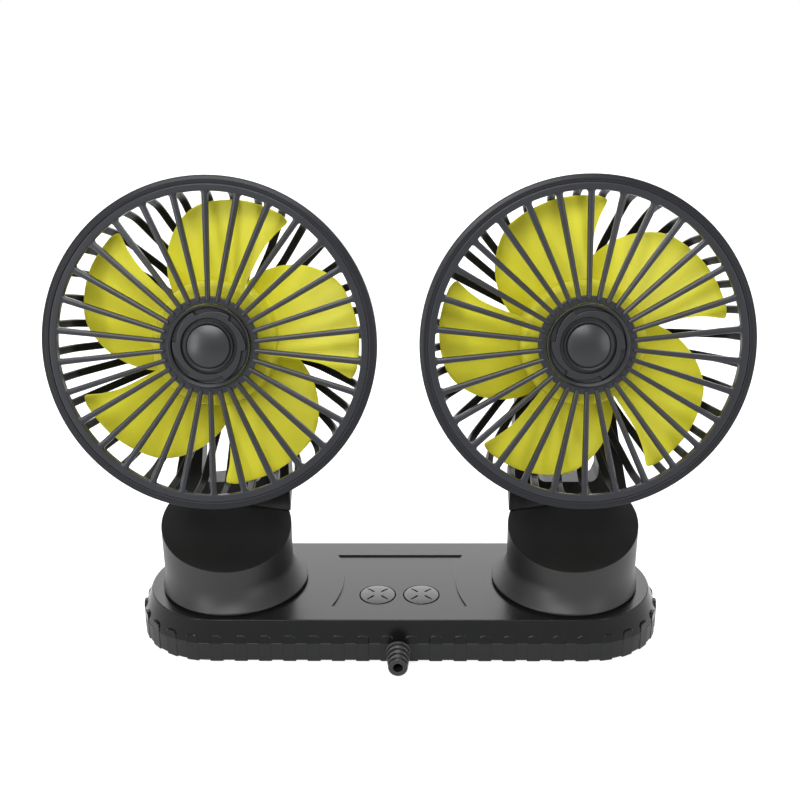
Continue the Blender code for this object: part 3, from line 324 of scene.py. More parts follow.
# Materials
def node_material(name, colour, roughness, specular=PLAIN_SPECULAR, grain=GRAIN_DEPTH,
                  grain_scale=GRAIN_SCALE, mottle=MOTTLE_SHARE, metallic=0, coat=0, translucent=0):
    """Moulded or machined finish: fine grain in the bump, soft cloudy changes in colour and gloss."""
    material = bpy.data.materials.new(name)
    material.use_nodes = True
    nodes, links = material.node_tree.nodes, material.node_tree.links
    shader = nodes["Principled BSDF"]
    shader.inputs["Metallic"].default_value = metallic
    shader.inputs["Specular IOR Level"].default_value = specular
    shader.inputs["Coat Weight"].default_value = coat
    shader.inputs["Coat Roughness"].default_value = COAT_ROUGHNESS
    if translucent:
        shader.inputs["Subsurface Weight"].default_value = translucent
        shader.inputs["Subsurface Radius"].default_value = GLOW_REACH
        shader.inputs["Subsurface Scale"].default_value = GLOW_SCALE
    place = nodes.new("ShaderNodeTexCoord").outputs["Object"]
    add_clouds(material, place, colour, mottle, roughness)
    bump = nodes.new("ShaderNodeBump")
    bump.inputs["Strength"].default_value = GRAIN_STRENGTH
    bump.inputs["Distance"].default_value = grain
    links.new(add_noise(nodes, links, place, grain_scale, GRAIN_DETAIL), bump.inputs["Height"])
    links.new(bump.outputs["Normal"], shader.inputs["Normal"])
    return material


def add_clouds(material, place, colour, mottle, roughness):
    """Soft cloudy changes in colour and gloss."""
    nodes, links = material.node_tree.nodes, material.node_tree.links
    shader = nodes["Principled BSDF"]
    cloud = add_noise(nodes, links, place, CLOUD_SCALE, CLOUD_DETAIL)
    tint = nodes.new("ShaderNodeMix")
    tint.data_type = "RGBA"
    tint.inputs[6].default_value = (*[channel * (1 - mottle) for channel in colour], 1)
    tint.inputs[7].default_value = (*[min(channel * (1 + mottle), 1) for channel in colour], 1)
    links.new(cloud, tint.inputs[0])
    links.new(tint.outputs[2], shader.inputs["Base Color"])
    gloss = nodes.new("ShaderNodeMapRange")
    gloss.inputs["To Min"].default_value = roughness * (1 - GLOSS_SPREAD_SHARE)
    gloss.inputs["To Max"].default_value = roughness * (1 + GLOSS_SPREAD_SHARE)
    links.new(cloud, gloss.inputs["Value"])
    links.new(gloss.outputs["Result"], shader.inputs["Roughness"])


def add_noise(nodes, links, place, scale, detail):
    noise = nodes.new("ShaderNodeTexNoise")
    noise.inputs["Scale"].default_value = scale
    noise.inputs["Detail"].default_value = detail
    links.new(place, noise.inputs["Vector"])
    return noise.outputs["Fac"]


FINISHES = {
    "charcoal": node_material("charcoal_moulding", (0.017, 0.018, 0.022), 0.30, specular=0.27),
    # rim: a darker copy of the charcoal moulding for the guard's outer band, painted shade
    "rim": node_material("rim_painted_shade", (0.009, 0.0095, 0.012), 0.32, specular=0.20),
    "hub": node_material("hub_moulding", (0.008, 0.0088, 0.0108), 0.32, specular=0.40),
    "black": node_material("black_moulding", (0.005, 0.005, 0.0055), 0.38, specular=0.15),
    "drum": node_material("drum_moulding", (0.012, 0.012, 0.013), 0.44, specular=0.36),
    "base": node_material("base_moulding", (0.006, 0.0062, 0.0065), 0.24, specular=0.28),
    # wall: a darker, duller copy of the base moulding for upright faces, painted shade and reflection
    "wall": node_material("wall_painted_shade", (0.004, 0.0042, 0.0045), 0.22, specular=0.15),
    "band": node_material("band_moulding", (0.012, 0.0123, 0.0125), 0.44, specular=0.20),
    "button": node_material("button_moulding", (0.016, 0.016, 0.018), 0.24, specular=0.4),
    "rubber": node_material("boot_rubber", (0.010, 0.010, 0.011), 0.34, specular=0.4, grain=0.00004),
    "blade": node_material("blade_moulding", (0.62, 0.59, 0.032), 0.42, specular=0.22, mottle=0.04,
                           translucent=0.25),
    "steel": node_material("brushed_steel", (0.62, 0.62, 0.64), 0.30, metallic=1.0, mottle=0.05,
                           grain_scale=4200),
    "board": node_material("board_lacquer", (0.02, 0.13, 0.05), 0.38, coat=0.4, mottle=0.2),
    "switch": node_material("switch_moulding", (0.02, 0.02, 0.021), 0.5, specular=0.4),
}


# Mesh helpers
def add_piece(name, shape, body, finish, nodes=(), place=ORIGIN, edge=0.0):
    """Puts a drawn shape into the scene as one piece that rides on a body."""
    bmesh.ops.recalc_face_normals(shape, faces=shape.faces)
    mesh = bpy.data.meshes.new(name)
    shape.to_mesh(mesh)
    shape.free()
    mesh.transform(place)
    mesh.shade_smooth()
    mesh.set_sharp_from_angle(angle=SHARP_ANGLE)
    mesh.materials.append(FINISHES[finish])
    piece = bpy.data.objects.new(name, mesh)
    group.objects.link(piece)
    if edge:
        soften_edges(piece, edge)
    piece.modifiers.new("Flat faces", "WEIGHTED_NORMAL").keep_sharp = True
    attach(piece, body)
    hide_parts(*nodes)
    return piece


def dress_faces(piece, finish, chosen):
    """Gives a second finish to the faces that a test picks."""
    piece.data.materials.append(FINISHES[finish])
    for face in piece.data.polygons:
        face.material_index = int(chosen(face))


def soften_edges(piece, width):
    bevel = piece.modifiers.new("Soft edges", "BEVEL")
    bevel.width = width
    bevel.segments = BEVEL_SEGMENTS
    bevel.limit_method = "ANGLE"
    bevel.angle_limit = SHARP_ANGLE


def ring_of(shape, radius, height, steps):
    if radius < TINY:
        return [shape.verts.new((0, 0, height))]
    turns = [2 * math.pi * step / steps for step in range(steps)]
    return [shape.verts.new((radius * math.cos(turn), radius * math.sin(turn), height)) for turn in turns]


def bridge(shape, low, high, closed=True):
    """Quads between two rows of points. A row of one point makes a fan."""
    steps = max(len(low), len(high))
    for index in range(steps if closed else steps - 1):
        after = (index + 1) % steps
        corners = [low[index % len(low)], low[after % len(low)]]
        corners += [high[after % len(high)], high[index % len(high)]]
        corners = list(dict.fromkeys(corners))
        if len(corners) > 2:
            shape.faces.new(corners)


def revolve(shape, profile, steps, closed=False):
    """Turns an outline of (radius, height) about Z."""
    rings = [ring_of(shape, radius, height, steps) for radius, height in profile]
    pairs = list(zip(rings, rings[1:]))
    if closed:
        pairs.append((rings[-1], rings[0]))
    for low, high in pairs:
        bridge(shape, low, high)
    return rings


def soften(points, size, closed=False):
    """Rounds the corners of an outline. The size is one length, or one for each corner."""
    result = []
    count = len(points)
    sizes = size if isinstance(size, (list, tuple)) else [size] * count
    for index, point in enumerate(points):
        corner = Vector(point)
        if sizes[index] == 0 or (not closed and index in (0, count - 1)):
            result.append(tuple(corner))
            continue
        before = Vector(points[index - 1]) - corner
        after = Vector(points[(index + 1) % count]) - corner
        start = corner + before.normalized() * min(sizes[index], before.length / 2)
        end = corner + after.normalized() * min(sizes[index], after.length / 2)
        for step in range(FILLET_STEPS + 1):
            share = step / FILLET_STEPS
            rest = 1 - share
            result.append(tuple(start * rest ** 2 + corner * 2 * share * rest + end * share ** 2))
    return result


def arc(centre, radius, start, end, steps):
    """Points on an arc in the plane, both ends included."""
    turns = [start + (end - start) * step / steps for step in range(steps + 1)]
    return [(centre[0] + radius * math.cos(turn), centre[1] + radius * math.sin(turn)) for turn in turns]


def sweep(shape, stations, section):
    """Draws a closed section along stations of (centre, across, upward)."""
    rings = []
    for centre, across, upward in stations:
        rings.append([shape.verts.new(centre + across * u + upward * v) for u, v in section])
    for low, high in zip(rings, rings[1:]):
        bridge(shape, low, high)
    shape.faces.new(rings[0])
    shape.faces.new(rings[-1])


def prism(outline, low, high):
    """A flat outline made thick along Z."""
    shape = bmesh.new()
    floor = [shape.verts.new((x, y, low)) for x, y in outline]
    roof = [shape.verts.new((x, y, high)) for x, y in outline]
    bridge(shape, floor, roof)
    shape.faces.new(floor)
    shape.faces.new(roof)
    bmesh.ops.recalc_face_normals(shape, faces=shape.faces)
    return shape


def disc(centre, radius, low, high, steps):
    return prism(arc(centre, radius, 0, 2 * math.pi, steps)[:-1], low, high)


def everything(shape):
    return shape.verts[:] + shape.edges[:] + shape.faces[:]


def join(shape, extra):
    """Adds a second shape to the first and frees it."""
    mesh = bpy.data.meshes.new("extra")
    extra.to_mesh(mesh)
    extra.free()
    shape.from_mesh(mesh)
    bpy.data.meshes.remove(mesh)


def scratch_object(name, shape):
    mesh = bpy.data.meshes.new(name)
    bmesh.ops.recalc_face_normals(shape, faces=shape.faces)
    shape.to_mesh(mesh)
    shape.free()
    item = bpy.data.objects.new(name, mesh)
    group.objects.link(item)
    return item


def carve(shape, tools):
    """Applies Boolean steps of (operation, shape) and gives back the result as a shape."""
    work = scratch_object("work", shape)
    cutters = []
    for index, (operation, tool) in enumerate(tools):
        cutter = scratch_object(f"tool_{index}", tool)
        step = work.modifiers.new(cutter.name, "BOOLEAN")
        step.operation = operation
        step.solver = "EXACT"
        step.object = cutter
        cutters.append(cutter)
    bpy.context.view_layer.update()
    seen = work.evaluated_get(bpy.context.evaluated_depsgraph_get())
    result = bmesh.new()
    result.from_mesh(seen.to_mesh())
    seen.to_mesh_clear()
    for item in [work, *cutters]:
        mesh = item.data
        bpy.data.objects.remove(item)
        bpy.data.meshes.remove(mesh)
    return result


def smooth_value(rows, column, place):
    """Reads a column of a given table at any place, with a smooth curve through its rows."""
    last = len(rows) - 1
    index = next((number for number in range(last) if place <= rows[number + 1][0]), last - 1)
    low, high = rows[index], rows[index + 1]
    before, after = rows[max(index - 1, 0)], rows[min(index + 2, last)]
    span = high[0] - low[0]
    share = (place - low[0]) / span
    slope_low = (high[column] - before[column]) / (high[0] - before[0]) * span
    slope_high = (after[column] - low[column]) / (after[0] - low[0]) * span
    cube, square = share ** 3, share ** 2
    return (low[column] * (2 * cube - 3 * square + 1) + slope_low * (cube - 2 * square + share)
            + high[column] * (3 * square - 2 * cube) + slope_high * (cube - square))


# Base
def stadium(half_straight, radius):
    """Points of the base's outline from the front left end, anticlockwise."""
    front = [(-half_straight + 2 * half_straight * step / STRAIGHT_STEPS, -radius)
             for step in range(1, STRAIGHT_STEPS)]
    back = [(-x, radius) for x, y in front]
    return (front + arc((half_straight, 0), radius, -QUARTER, QUARTER, END_STEPS) + back
            + arc((-half_straight, 0), radius, QUARTER, 3 * QUARTER, END_STEPS))


def stack_outlines(shape, rows):
    """Skins stadium outlines of (half straight, radius, height) and closes both ends."""
    rings = [[shape.verts.new((x, y, height)) for x, y in stadium(half, radius)]
             for half, radius, height in rows]
    for low, high in zip(rings, rings[1:]):
        bridge(shape, low, high)
    shape.faces.new(rings[0])
    shape.faces.new(rings[-1])


def panel_outline():
    rise = PANEL_BACK - PANEL_FRONT
    dip = PANEL_HALF_WIDTH - PANEL_WAIST
    radius = (rise * rise / 4 + dip * dip) / (2 * dip)
    swing = math.asin(rise / 2 / radius)
    middle = (PANEL_BACK + PANEL_FRONT) / 2
    right = arc((PANEL_WAIST + radius, middle), radius, math.pi - swing, math.pi + swing, PANEL_ARC_STEPS)
    return right + [(-x, y) for x, y in reversed(right)]


def button_frames():
    """Centre, and lowest and highest place, of each packed button."""
    result = {}
    for side in SIDES:
        low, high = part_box(f"button_{side}")
        result[side] = ((low + high) / 2, low.z, high.z)
    return result


BUTTONS = button_frames()


def make_shell():
    low = SHELL_LOW.z
    radius = BASE_RADIUS - TAB_RELIEF
    lip = low + SHELL_LIP
    share = SHELL_EDGE / (SHELL_TOP - lip)
    inset = SHELL_EDGE * SHELL_EDGE_SHARE
    shape = bmesh.new()
    stack_outlines(shape, [
        (HALF_STRAIGHT, radius, low),
        (HALF_STRAIGHT, radius, lip),
        (HALF_STRAIGHT - SHELL_LEAN * (1 - share), radius, SHELL_TOP - SHELL_EDGE),
        (HALF_STRAIGHT - SHELL_LEAN, radius - inset, SHELL_TOP - inset),
        (HALF_STRAIGHT - SHELL_LEAN, radius - SHELL_EDGE, SHELL_TOP),
    ])
    tools = [("DIFFERENCE", prism(panel_outline(), SHELL_TOP - PANEL_DEPTH, SHELL_TOP + OVERRUN))]
    for side in SIDES:
        centre, button_low, button_high = BUTTONS[side]
        hole = disc(centre, BUTTON_HOLE, button_low, SHELL_TOP + OVERRUN, BUTTON_STEPS)
        tools.append(("DIFFERENCE", hole))
    shape = carve(shape, tools)
    piece = add_piece("fine_base_shell", shape, "base", "base", ["base_shell"],
                      edge=PANEL_EDGE)
    # Upright faces of the shell get the darker wall finish: painted shade
    dress_faces(piece, "wall", lambda face: abs(face.normal.z) < WALL_FACING)


def outline_place(distance, radius):
    """Place at a distance along the outline from its front middle."""
    turn_length = math.pi * BASE_RADIUS
    perimeter = 4 * HALF_STRAIGHT + 2 * turn_length
    distance = distance % perimeter
    if distance < HALF_STRAIGHT:
        return Vector((distance, -radius, 0))
    distance -= HALF_STRAIGHT
    if distance < turn_length:
        turn = distance / BASE_RADIUS - QUARTER
        return Vector((HALF_STRAIGHT + radius * math.cos(turn), radius * math.sin(turn), 0))
    distance -= turn_length
    if distance < 2 * HALF_STRAIGHT:
        return Vector((HALF_STRAIGHT - distance, radius, 0))
    distance -= 2 * HALF_STRAIGHT
    if distance < turn_length:
        turn = distance / BASE_RADIUS + QUARTER
        return Vector((-HALF_STRAIGHT + radius * math.cos(turn), radius * math.sin(turn), 0))
    return Vector((distance - turn_length - HALF_STRAIGHT, -radius, 0))


def tab_outline(inset):
    """A tab drawn flat: upright sides and rounded upper corners, drawn in by an inset."""
    half = TAB_WIDTH / 2 - inset
    low = TRAY_LOW.z
    high = TRAY_HIGH.z - inset
    corner = TAB_CORNER
    return ([(-half, low), (half, low)]
            + arc((half - corner, high - corner), corner, 0, QUARTER, FILLET_STEPS)
            + arc((-half + corner, high - corner), corner, QUARTER, math.pi, FILLET_STEPS))


def add_tab(shape, middle):
    layers = [(0, BASE_RADIUS - TAB_ROOT), (0, BASE_RADIUS - TAB_EDGE), (TAB_EDGE, BASE_RADIUS)]
    rings = []
    for inset, radius in layers:
        ring = []
        for along, height in tab_outline(inset):
            rise = max(height - BAND_TOP, 0) / (TRAY_HIGH.z - BAND_TOP)
            place = outline_place(middle + along, radius - TAB_LEAN * rise)
            ring.append(shape.verts.new((place.x, place.y, height)))
        rings.append(ring)
    for low, high in zip(rings, rings[1:]):
        bridge(shape, low, high)
    shape.faces.new(rings[0])
    shape.faces.new(rings[-1])


def make_tray():
    shape = bmesh.new()
    radius = BASE_RADIUS - BAND_INSET
    low = TRAY_LOW.z
    edge = SHELL_EDGE
    stack_outlines(shape, [
        (HALF_STRAIGHT, radius - edge, low),
        (HALF_STRAIGHT, radius, low + edge),
        (HALF_STRAIGHT, radius, BAND_TOP - edge / 2),
        (HALF_STRAIGHT, BASE_RADIUS - TAB_RELIEF, BAND_TOP),
    ])
    pitch = (4 * HALF_STRAIGHT + 2 * math.pi * BASE_RADIUS) / TAB_COUNT
    for tab in range(TAB_COUNT):
        add_tab(shape, (tab + 1 / 2) * pitch)
    bmesh.ops.bisect_plane(shape, geom=everything(shape), plane_co=(0, 0, BAND_TOP + TINY),
                           plane_no=(0, 0, 1))
    piece = add_piece("fine_base_tray", shape, "base", "band", ["base_tray"])
    # Tab parts above the band get the darker wall finish: painted shade
    dress_faces(piece, "wall", lambda face: face.center.z > BAND_TOP + TINY)


def groove_cutter(centre, top, turn):
    """A short round-ended groove of the button's cross."""
    half = BUTTON_GROOVE_WIDTH / 2
    outline = (arc((BUTTON_GROOVE_END, 0), half, -QUARTER, QUARTER, FILLET_STEPS)
               + arc((BUTTON_GROOVE_START, 0), half, QUARTER, 3 * QUARTER, FILLET_STEPS))
    shape = prism(outline, top - BUTTON_GROOVE_DEPTH, top + OVERRUN)
    place = Matrix.Translation((centre.x, centre.y, 0)) @ Matrix.Rotation(turn, 4, "Z")
    bmesh.ops.transform(shape, matrix=place, verts=shape.verts)
    return shape


def make_button(side):
    centre, low, high = BUTTONS[side]
    rim = high - BUTTON_DOME
    profile = [(0, high)]
    for share in BUTTON_DOME_SHARES:
        profile.append((share * BUTTON_RADIUS, high - BUTTON_DOME * share ** 2))
    profile += soften([(BUTTON_RADIUS - BUTTON_EDGE, rim), (BUTTON_RADIUS, rim),
                       (BUTTON_RADIUS, high - 3 * BUTTON_EDGE)], BUTTON_EDGE)
    profile += [(BUTTON_RADIUS, low), (0, low)]
    shape = bmesh.new()
    revolve(shape, profile, BUTTON_STEPS)
    bmesh.ops.translate(shape, verts=shape.verts, vec=(centre.x, centre.y, 0))
    tools = [("DIFFERENCE", groove_cutter(centre, high - BUTTON_DOME / 3, QUARTER / 2 + number * QUARTER))
             for number in range(BUTTON_GROOVES)]
    shape = carve(shape, tools)
    add_piece(f"fine_button_{side}", shape, f"push_button_{side}", "button",
              [f"button_{side}"])


def make_boot():
    pitch = BOOT_LENGTH / BOOT_RIBS
    taper = (BOOT_ROOT_RADIUS - BOOT_TIP_RADIUS) / BOOT_LENGTH
    ribs = []
    for rib in range(BOOT_RIBS):
        high = BOOT_LENGTH - rib * pitch
        for share, sunk in BOOT_RIB_SHARES:
            height = high - share * pitch
            ribs.append((BOOT_ROOT_RADIUS - taper * height - sunk * BOOT_RIB_DEPTH, height))
    profile = [(0, BOOT_LENGTH - BOOT_BORE_DEPTH), (BOOT_BORE_RADIUS, BOOT_LENGTH - BOOT_BORE_DEPTH),
               (BOOT_BORE_RADIUS, BOOT_LENGTH)] + ribs + [(BOOT_ROOT_RADIUS, 0), (0, 0)]
    sizes = [0, 0, BOOT_RIB_DEPTH / 3] + [BOOT_RIB_DEPTH / 2] * len(ribs) + [0, 0]
    shape = bmesh.new()
    revolve(shape, soften(profile, sizes), BOOT_STEPS)
    place = Matrix.Translation((BOOT_X, -BASE_RADIUS, BOOT_HEIGHT)) @ Matrix.Rotation(QUARTER, 4, "X")
    add_piece("fine_cable_boot", shape, "base", "rubber", ["cable_boot"], place=place)


# Turrets and yokes
def turret_top(x, y, way):
    return TURRET_TOP_Z + TURRET_SLOPE * y + TURRET_LEAN * way * x


def drum_x(side):
    return JOINTS[f"head_tilt_{side}"]["pos_m"][0]


def flare_foot(shape, low, shift):
    """Spreads the drum's lower end to the foot's radius and moves it onto the swivel axis."""
    for vert in shape.verts:
        height = max(vert.co.z - low - FOOT_RIM, 0)
        share = max(1 - height / FOOT_FLARE, 0) ** 2
        if vert.co.z < low + FOOT_RIM + FOOT_FLARE + TINY and vert.co.xy.length > TINY:
            spread = vert.co.xy.normalized() * (FOOT_RADIUS - TURRET_RADIUS) + shift
            vert.co += Vector((*spread, 0)) * share


def make_turret(side):
    """Drum on its flared foot. The foot is centred on the swivel axis and the drum is not."""
    way = SIDES[side]
    low = SHELL_TOP + FOOT_GAP
    shift = Vector((JOINTS[f"turret_swivel_{side}"]["pos_m"][0] - drum_x(side), 0))
    top = turret_top(way * TURRET_RADIUS, TURRET_RADIUS, way) + OVERRUN
    flare = [(TURRET_RADIUS, low + FOOT_RIM + FOOT_FLARE * (1 - step / FOOT_STEPS))
             for step in range(FOOT_STEPS + 1)]
    shape = bmesh.new()
    revolve(shape, [(0, top), (TURRET_RADIUS, top), *flare, (TURRET_RADIUS, low), (0, low)], TURRET_STEPS)
    flare_foot(shape, low, shift)
    slope = Vector((-TURRET_LEAN * way, -TURRET_SLOPE, 1)).normalized()
    cut = bmesh.ops.bisect_plane(shape, geom=everything(shape), plane_co=(0, 0, TURRET_TOP_Z),
                                 plane_no=slope, clear_outer=True)
    rim = [item for item in cut["geom_cut"] if isinstance(item, bmesh.types.BMEdge)]
    bmesh.ops.edgenet_fill(shape, edges=rim)
    join(shape, disc((shift.x, 0), FOOT_RADIUS - FOOT_GAP, SHELL_TOP + TINY, low, TURRET_STEPS))
    piece = add_piece(f"fine_turret_{side}", shape, f"turret_body_{side}", "drum",
                      [f"turret_{side}"], place=Matrix.Translation((drum_x(side), 0, 0)), edge=TURRET_EDGE)
    lowest = TURRET_TOP_Z - TURRET_SLOPE * TURRET_RADIUS
    # The slanted cut face takes the near-black finish: painted shade under the head
    dress_faces(piece, "black", lambda face: face.center.z > lowest and face.normal.dot(slope) > CUT_FACING)


def arm_line(share, pivot):
    rest = 1 - share
    guides = [(ARM_FOOT_Y, YOKE_LOW), (ARM_LEAN_Y, ARM_LEAN_Z), (ARM_BACK_Y, ARM_BACK_Z), pivot]
    weights = [rest ** 3, 3 * rest ** 2 * share, 3 * rest * share ** 2, share ** 3]
    return Vector([sum(weight * guide[axis] for weight, guide in zip(weights, guides)) for axis in (0, 1)])


def arm_outline(pivot):
    """Side view of an arm: two offset curves and a round eye about the pivot."""
    front, back = [], []
    for step in range(ARM_STEPS):
        share = step / ARM_STEPS
        here = arm_line(share, pivot)
        along = (arm_line(share + 1 / ARM_STEPS, pivot) - here).normalized()
        across = Vector((-along.y, along.x)) if step else Vector((-1, 0))
        half = ARM_FOOT_HALF_DEPTH + (ARM_HALF_DEPTH - ARM_FOOT_HALF_DEPTH) * share
        front.append(tuple(here + across * half))
        back.append(tuple(here - across * half))
    rise = (Vector(pivot) - arm_line(1 - 1 / ARM_STEPS, pivot)).normalized()
    lean = math.atan2(rise.y, rise.x)
    spread = math.pi - math.asin(ARM_HALF_DEPTH / EYE_RADIUS)
    eye = arc(pivot, EYE_RADIUS, lean + spread, lean - spread, EYE_STEPS)
    return front[:-2] + eye + back[-3::-1]


def fork_outline(pivot):
    high = pivot[1] + EYE_RADIUS + OVERRUN
    middle = (YOKE_HALF_GAP - YOKE_CORNER, YOKE_FLOOR + YOKE_CORNER)
    corner = arc(middle, YOKE_CORNER, 0, -QUARTER, CORNER_STEPS)
    right = [(YOKE_HALF_WIDTH, YOKE_LOW), (ARM_OUTER, pivot[1] - EYE_RADIUS), (ARM_OUTER, high),
             (YOKE_HALF_GAP, high), *corner]
    return right + [(-x, z) for x, z in reversed(right)]


def make_yoke(side):
    """Fork where its side view and its front view meet, cut to sit on the drum's slanted top."""
    way = SIDES[side]
    pivot = tuple(JOINTS[f"head_tilt_{side}"]["pos_m"][1:])
    half = YOKE_HALF_WIDTH + OVERRUN
    reach = pivot[0] + EYE_RADIUS + OVERRUN
    shape = prism(arm_outline(pivot), -half, half)
    lay = Matrix(((0, 0, 1, 0), (1, 0, 0, 0), (0, 1, 0, 0), (0, 0, 0, 1)))
    bmesh.ops.transform(shape, matrix=lay, verts=shape.verts)
    fork = prism(fork_outline(pivot), -reach, 0)
    bmesh.ops.transform(fork, matrix=Matrix.Rotation(QUARTER, 4, "X"), verts=fork.verts)
    seat = prism([(-half, -half), (half, -half), (half, half + reach), (-half, half + reach)], -half,
                 YOKE_SEAT_GAP)
    for vert in seat.verts:
        vert.co.z += turret_top(vert.co.x, vert.co.y, way)
    shape = carve(shape, [("INTERSECT", fork), ("DIFFERENCE", seat)])
    add_piece(f"fine_yoke_{side}", shape, f"turret_body_{side}", "black", [f"yoke_{side}"],
              place=Matrix.Translation((drum_x(side), 0, 0)), edge=YOKE_EDGE)


def make_pins(side):
    pivot = Vector(JOINTS[f"head_tilt_{side}"]["pos_m"])
    for label, way in SIDES.items():
        height = PIN_HEAD_HEIGHT
        profile = soften([(0, height), (PIN_HEAD_RADIUS, height), (PIN_HEAD_RADIUS, 0), (0, 0)],
                         [0, height / 2, 0, 0])
        shape = bmesh.new()
        revolve(shape, profile, HUB_STEPS // 2)
        place = (Matrix.Translation(pivot + Vector((way * (ARM_OUTER + YOKE_SEAT_GAP), 0, 0)))
                 @ Matrix.Rotation(way * QUARTER, 4, "Y"))
        add_piece(f"fine_pin_{side}_{label}", shape, f"turret_body_{side}", "black",
                  [f"tilt_pin_{side}_{label}"], place=place)


# Heads
def head_place(side):
    """Matrix of a head: +Z out of the guard, +Y up along its face."""
    joint = JOINTS[f"fan_spin_{side}"]
    facing = Vector(joint["axis"]).normalized()
    across = Vector((1, 0, 0))
    upward = facing.cross(across)
    return Matrix.Translation(joint["pos_m"]) @ Matrix((across, upward, facing)).transposed().to_4x4()


def guard_profile():
    """Section of the guard's ring: a flat inner band, a crisp step, a sloping outer band and the lip."""
    step = GUARD_STEP_RADIUS
    ledge = (step + GUARD_RADIUS) / 2
    corners = [SMALL_EDGE, PLAIN_EDGE, PLAIN_EDGE, 0, 0, SMALL_EDGE, SMALL_EDGE, 0, BROAD_EDGE, SMALL_EDGE,
               SMALL_EDGE, 0]
    return soften([
        (GUARD_OPENING, -GUARD_THICKNESS), (GUARD_OPENING, 0),
        (step - GUARD_GROOVE, 0), (step - GUARD_GROOVE, -2 * GUARD_GROOVE), (step, -2 * GUARD_GROOVE),
        (step, -GUARD_DROP / 2), (ledge, -GUARD_DROP / 2), (ledge, -GUARD_DROP),
        (GUARD_RADIUS, -GUARD_DROP - GUARD_GROOVE),
        (GUARD_RADIUS, -GUARD_LIP), (GUARD_RADIUS - GUARD_WALL, -GUARD_LIP),
        (GUARD_RADIUS - GUARD_WALL, -GUARD_THICKNESS),
    ], corners, closed=True)


def add_guard_rib(shape, turn):
    """One straight rib with a bevelled top, a rounded inner end and fillets at the ring."""
    out = Vector((math.cos(turn), math.sin(turn), 0))
    across = Vector((-math.sin(turn), math.cos(turn), 0))
    end = GUARD_OPENING + RIB_OVERLAP
    places = [RIB_START + step for step in RIB_START_STEPS]
    places += [RIB_START + (end - RIB_START) * share for share in RIB_MIDDLE_SHARES]
    places += [end - RIB_FILLET * share for share in RIB_FILLET_SHARES]
    stations = []
    for radius in places:
        share = (radius - RIB_START) / (end - RIB_START)
        half = RIB_INNER_HALF + (RIB_OUTER_HALF - RIB_INNER_HALF) * share
        near = min(end - radius, RIB_FILLET)
        half += RIB_FILLET - math.sqrt(2 * RIB_FILLET * near - near ** 2)
        round_off = min((radius - RIB_START) / RIB_INNER_HALF, 1)
        half *= math.sqrt(max(1 - (1 - round_off) ** 2, RIB_NOSE_SHARE))
        stations.append((out * radius, across * half, Vector((0, 0, RIB_HEIGHT))))
    sweep(shape, stations, [(-1, -1), (1, -1), *RIB_TOP_SHARES])


def make_guard(side):
    shape = bmesh.new()
    revolve(shape, guard_profile(), GUARD_STEPS, closed=True)
    for rib in range(GUARD_RIBS):
        add_guard_rib(shape, QUARTER + rib * 2 * math.pi / GUARD_RIBS)
    inner = HUB_RADIUS + COLLAR_GAP
    collar = [(inner, -GUARD_THICKNESS), (inner, -COLLAR_SINK), (COLLAR_RADIUS, -COLLAR_SINK),
              (COLLAR_RADIUS, -GUARD_THICKNESS)]
    revolve(shape, soften(collar, [0, FINE_EDGE, BROAD_EDGE, 0], closed=True), HUB_STEPS, closed=True)
    place = head_place(side)
    piece = add_piece(f"fine_guard_{side}", shape, f"head_{side}", "charcoal",
                      [f"front_guard_{side}"], place=place)
    back = place.inverted()
    edge = GUARD_STEP_RADIUS + GUARD_GROOVE
    # The outer band beyond the step takes the darker rim finish: painted shade
    dress_faces(piece, "rim", lambda face: (back @ face.center).xy.length > edge)


def vane_radius(turn):
    """Outer radius of the stepped ring of vanes at a turn: it falls slowly and steps out again."""
    share = (turn / (2 * math.pi) * VANE_COUNT) % 1
    if share < VANE_RUN_SHARE:
        return VANE_OUTER - VANE_STEP * share / VANE_RUN_SHARE
    return VANE_OUTER - VANE_STEP * max(1 - (share - VANE_RUN_SHARE) / VANE_RISE_SHARE, 0)


def add_vanes(shape):
    rings = []
    top = -VANE_TOP
    low = -HUB_FLOOR - VANE_ROUND
    for step in range(VANE_STEPS):
        turn = 2 * math.pi * step / VANE_STEPS
        outer = vane_radius(turn)
        section = [(VANE_INNER, -HUB_FLOOR), (VANE_INNER, top - FINE_EDGE), (VANE_INNER + FINE_EDGE, top),
                   (outer - SMALL_EDGE, top), (outer - VANE_ROUND, top - VANE_ROUND),
                   (outer, top - SMALL_EDGE), (outer, low), (VANE_INNER, low)]
        rings.append([shape.verts.new((radius * math.cos(turn), radius * math.sin(turn), height))
                      for radius, height in section])
    for first, second in zip(rings, rings[1:] + rings[:1]):
        bridge(shape, first, second)


def make_hub(side):
    bead = HUB_RADIUS - BEAD_WIDTH
    profile = [(0, -HUB_FLOOR), (bead, -HUB_FLOOR), (bead + TINY, 0), (HUB_RADIUS - BEAD_LIP, BEAD_TOP),
               (HUB_RADIUS, BEAD_TOP - BEAD_LIP), (HUB_RADIUS, -HUB_BACK), (0, -HUB_BACK)]
    corners = [0, BEAD_LIP, BEAD_LIP / 2, BEAD_LIP, BEAD_LIP, BEAD_LIP, 0]
    shape = bmesh.new()
    revolve(shape, soften(profile, corners), HUB_STEPS)
    add_vanes(shape)
    add_piece(f"fine_hub_ring_{side}", shape, f"head_{side}", "hub",
              [f"hub_ring_{side}"], place=head_place(side))


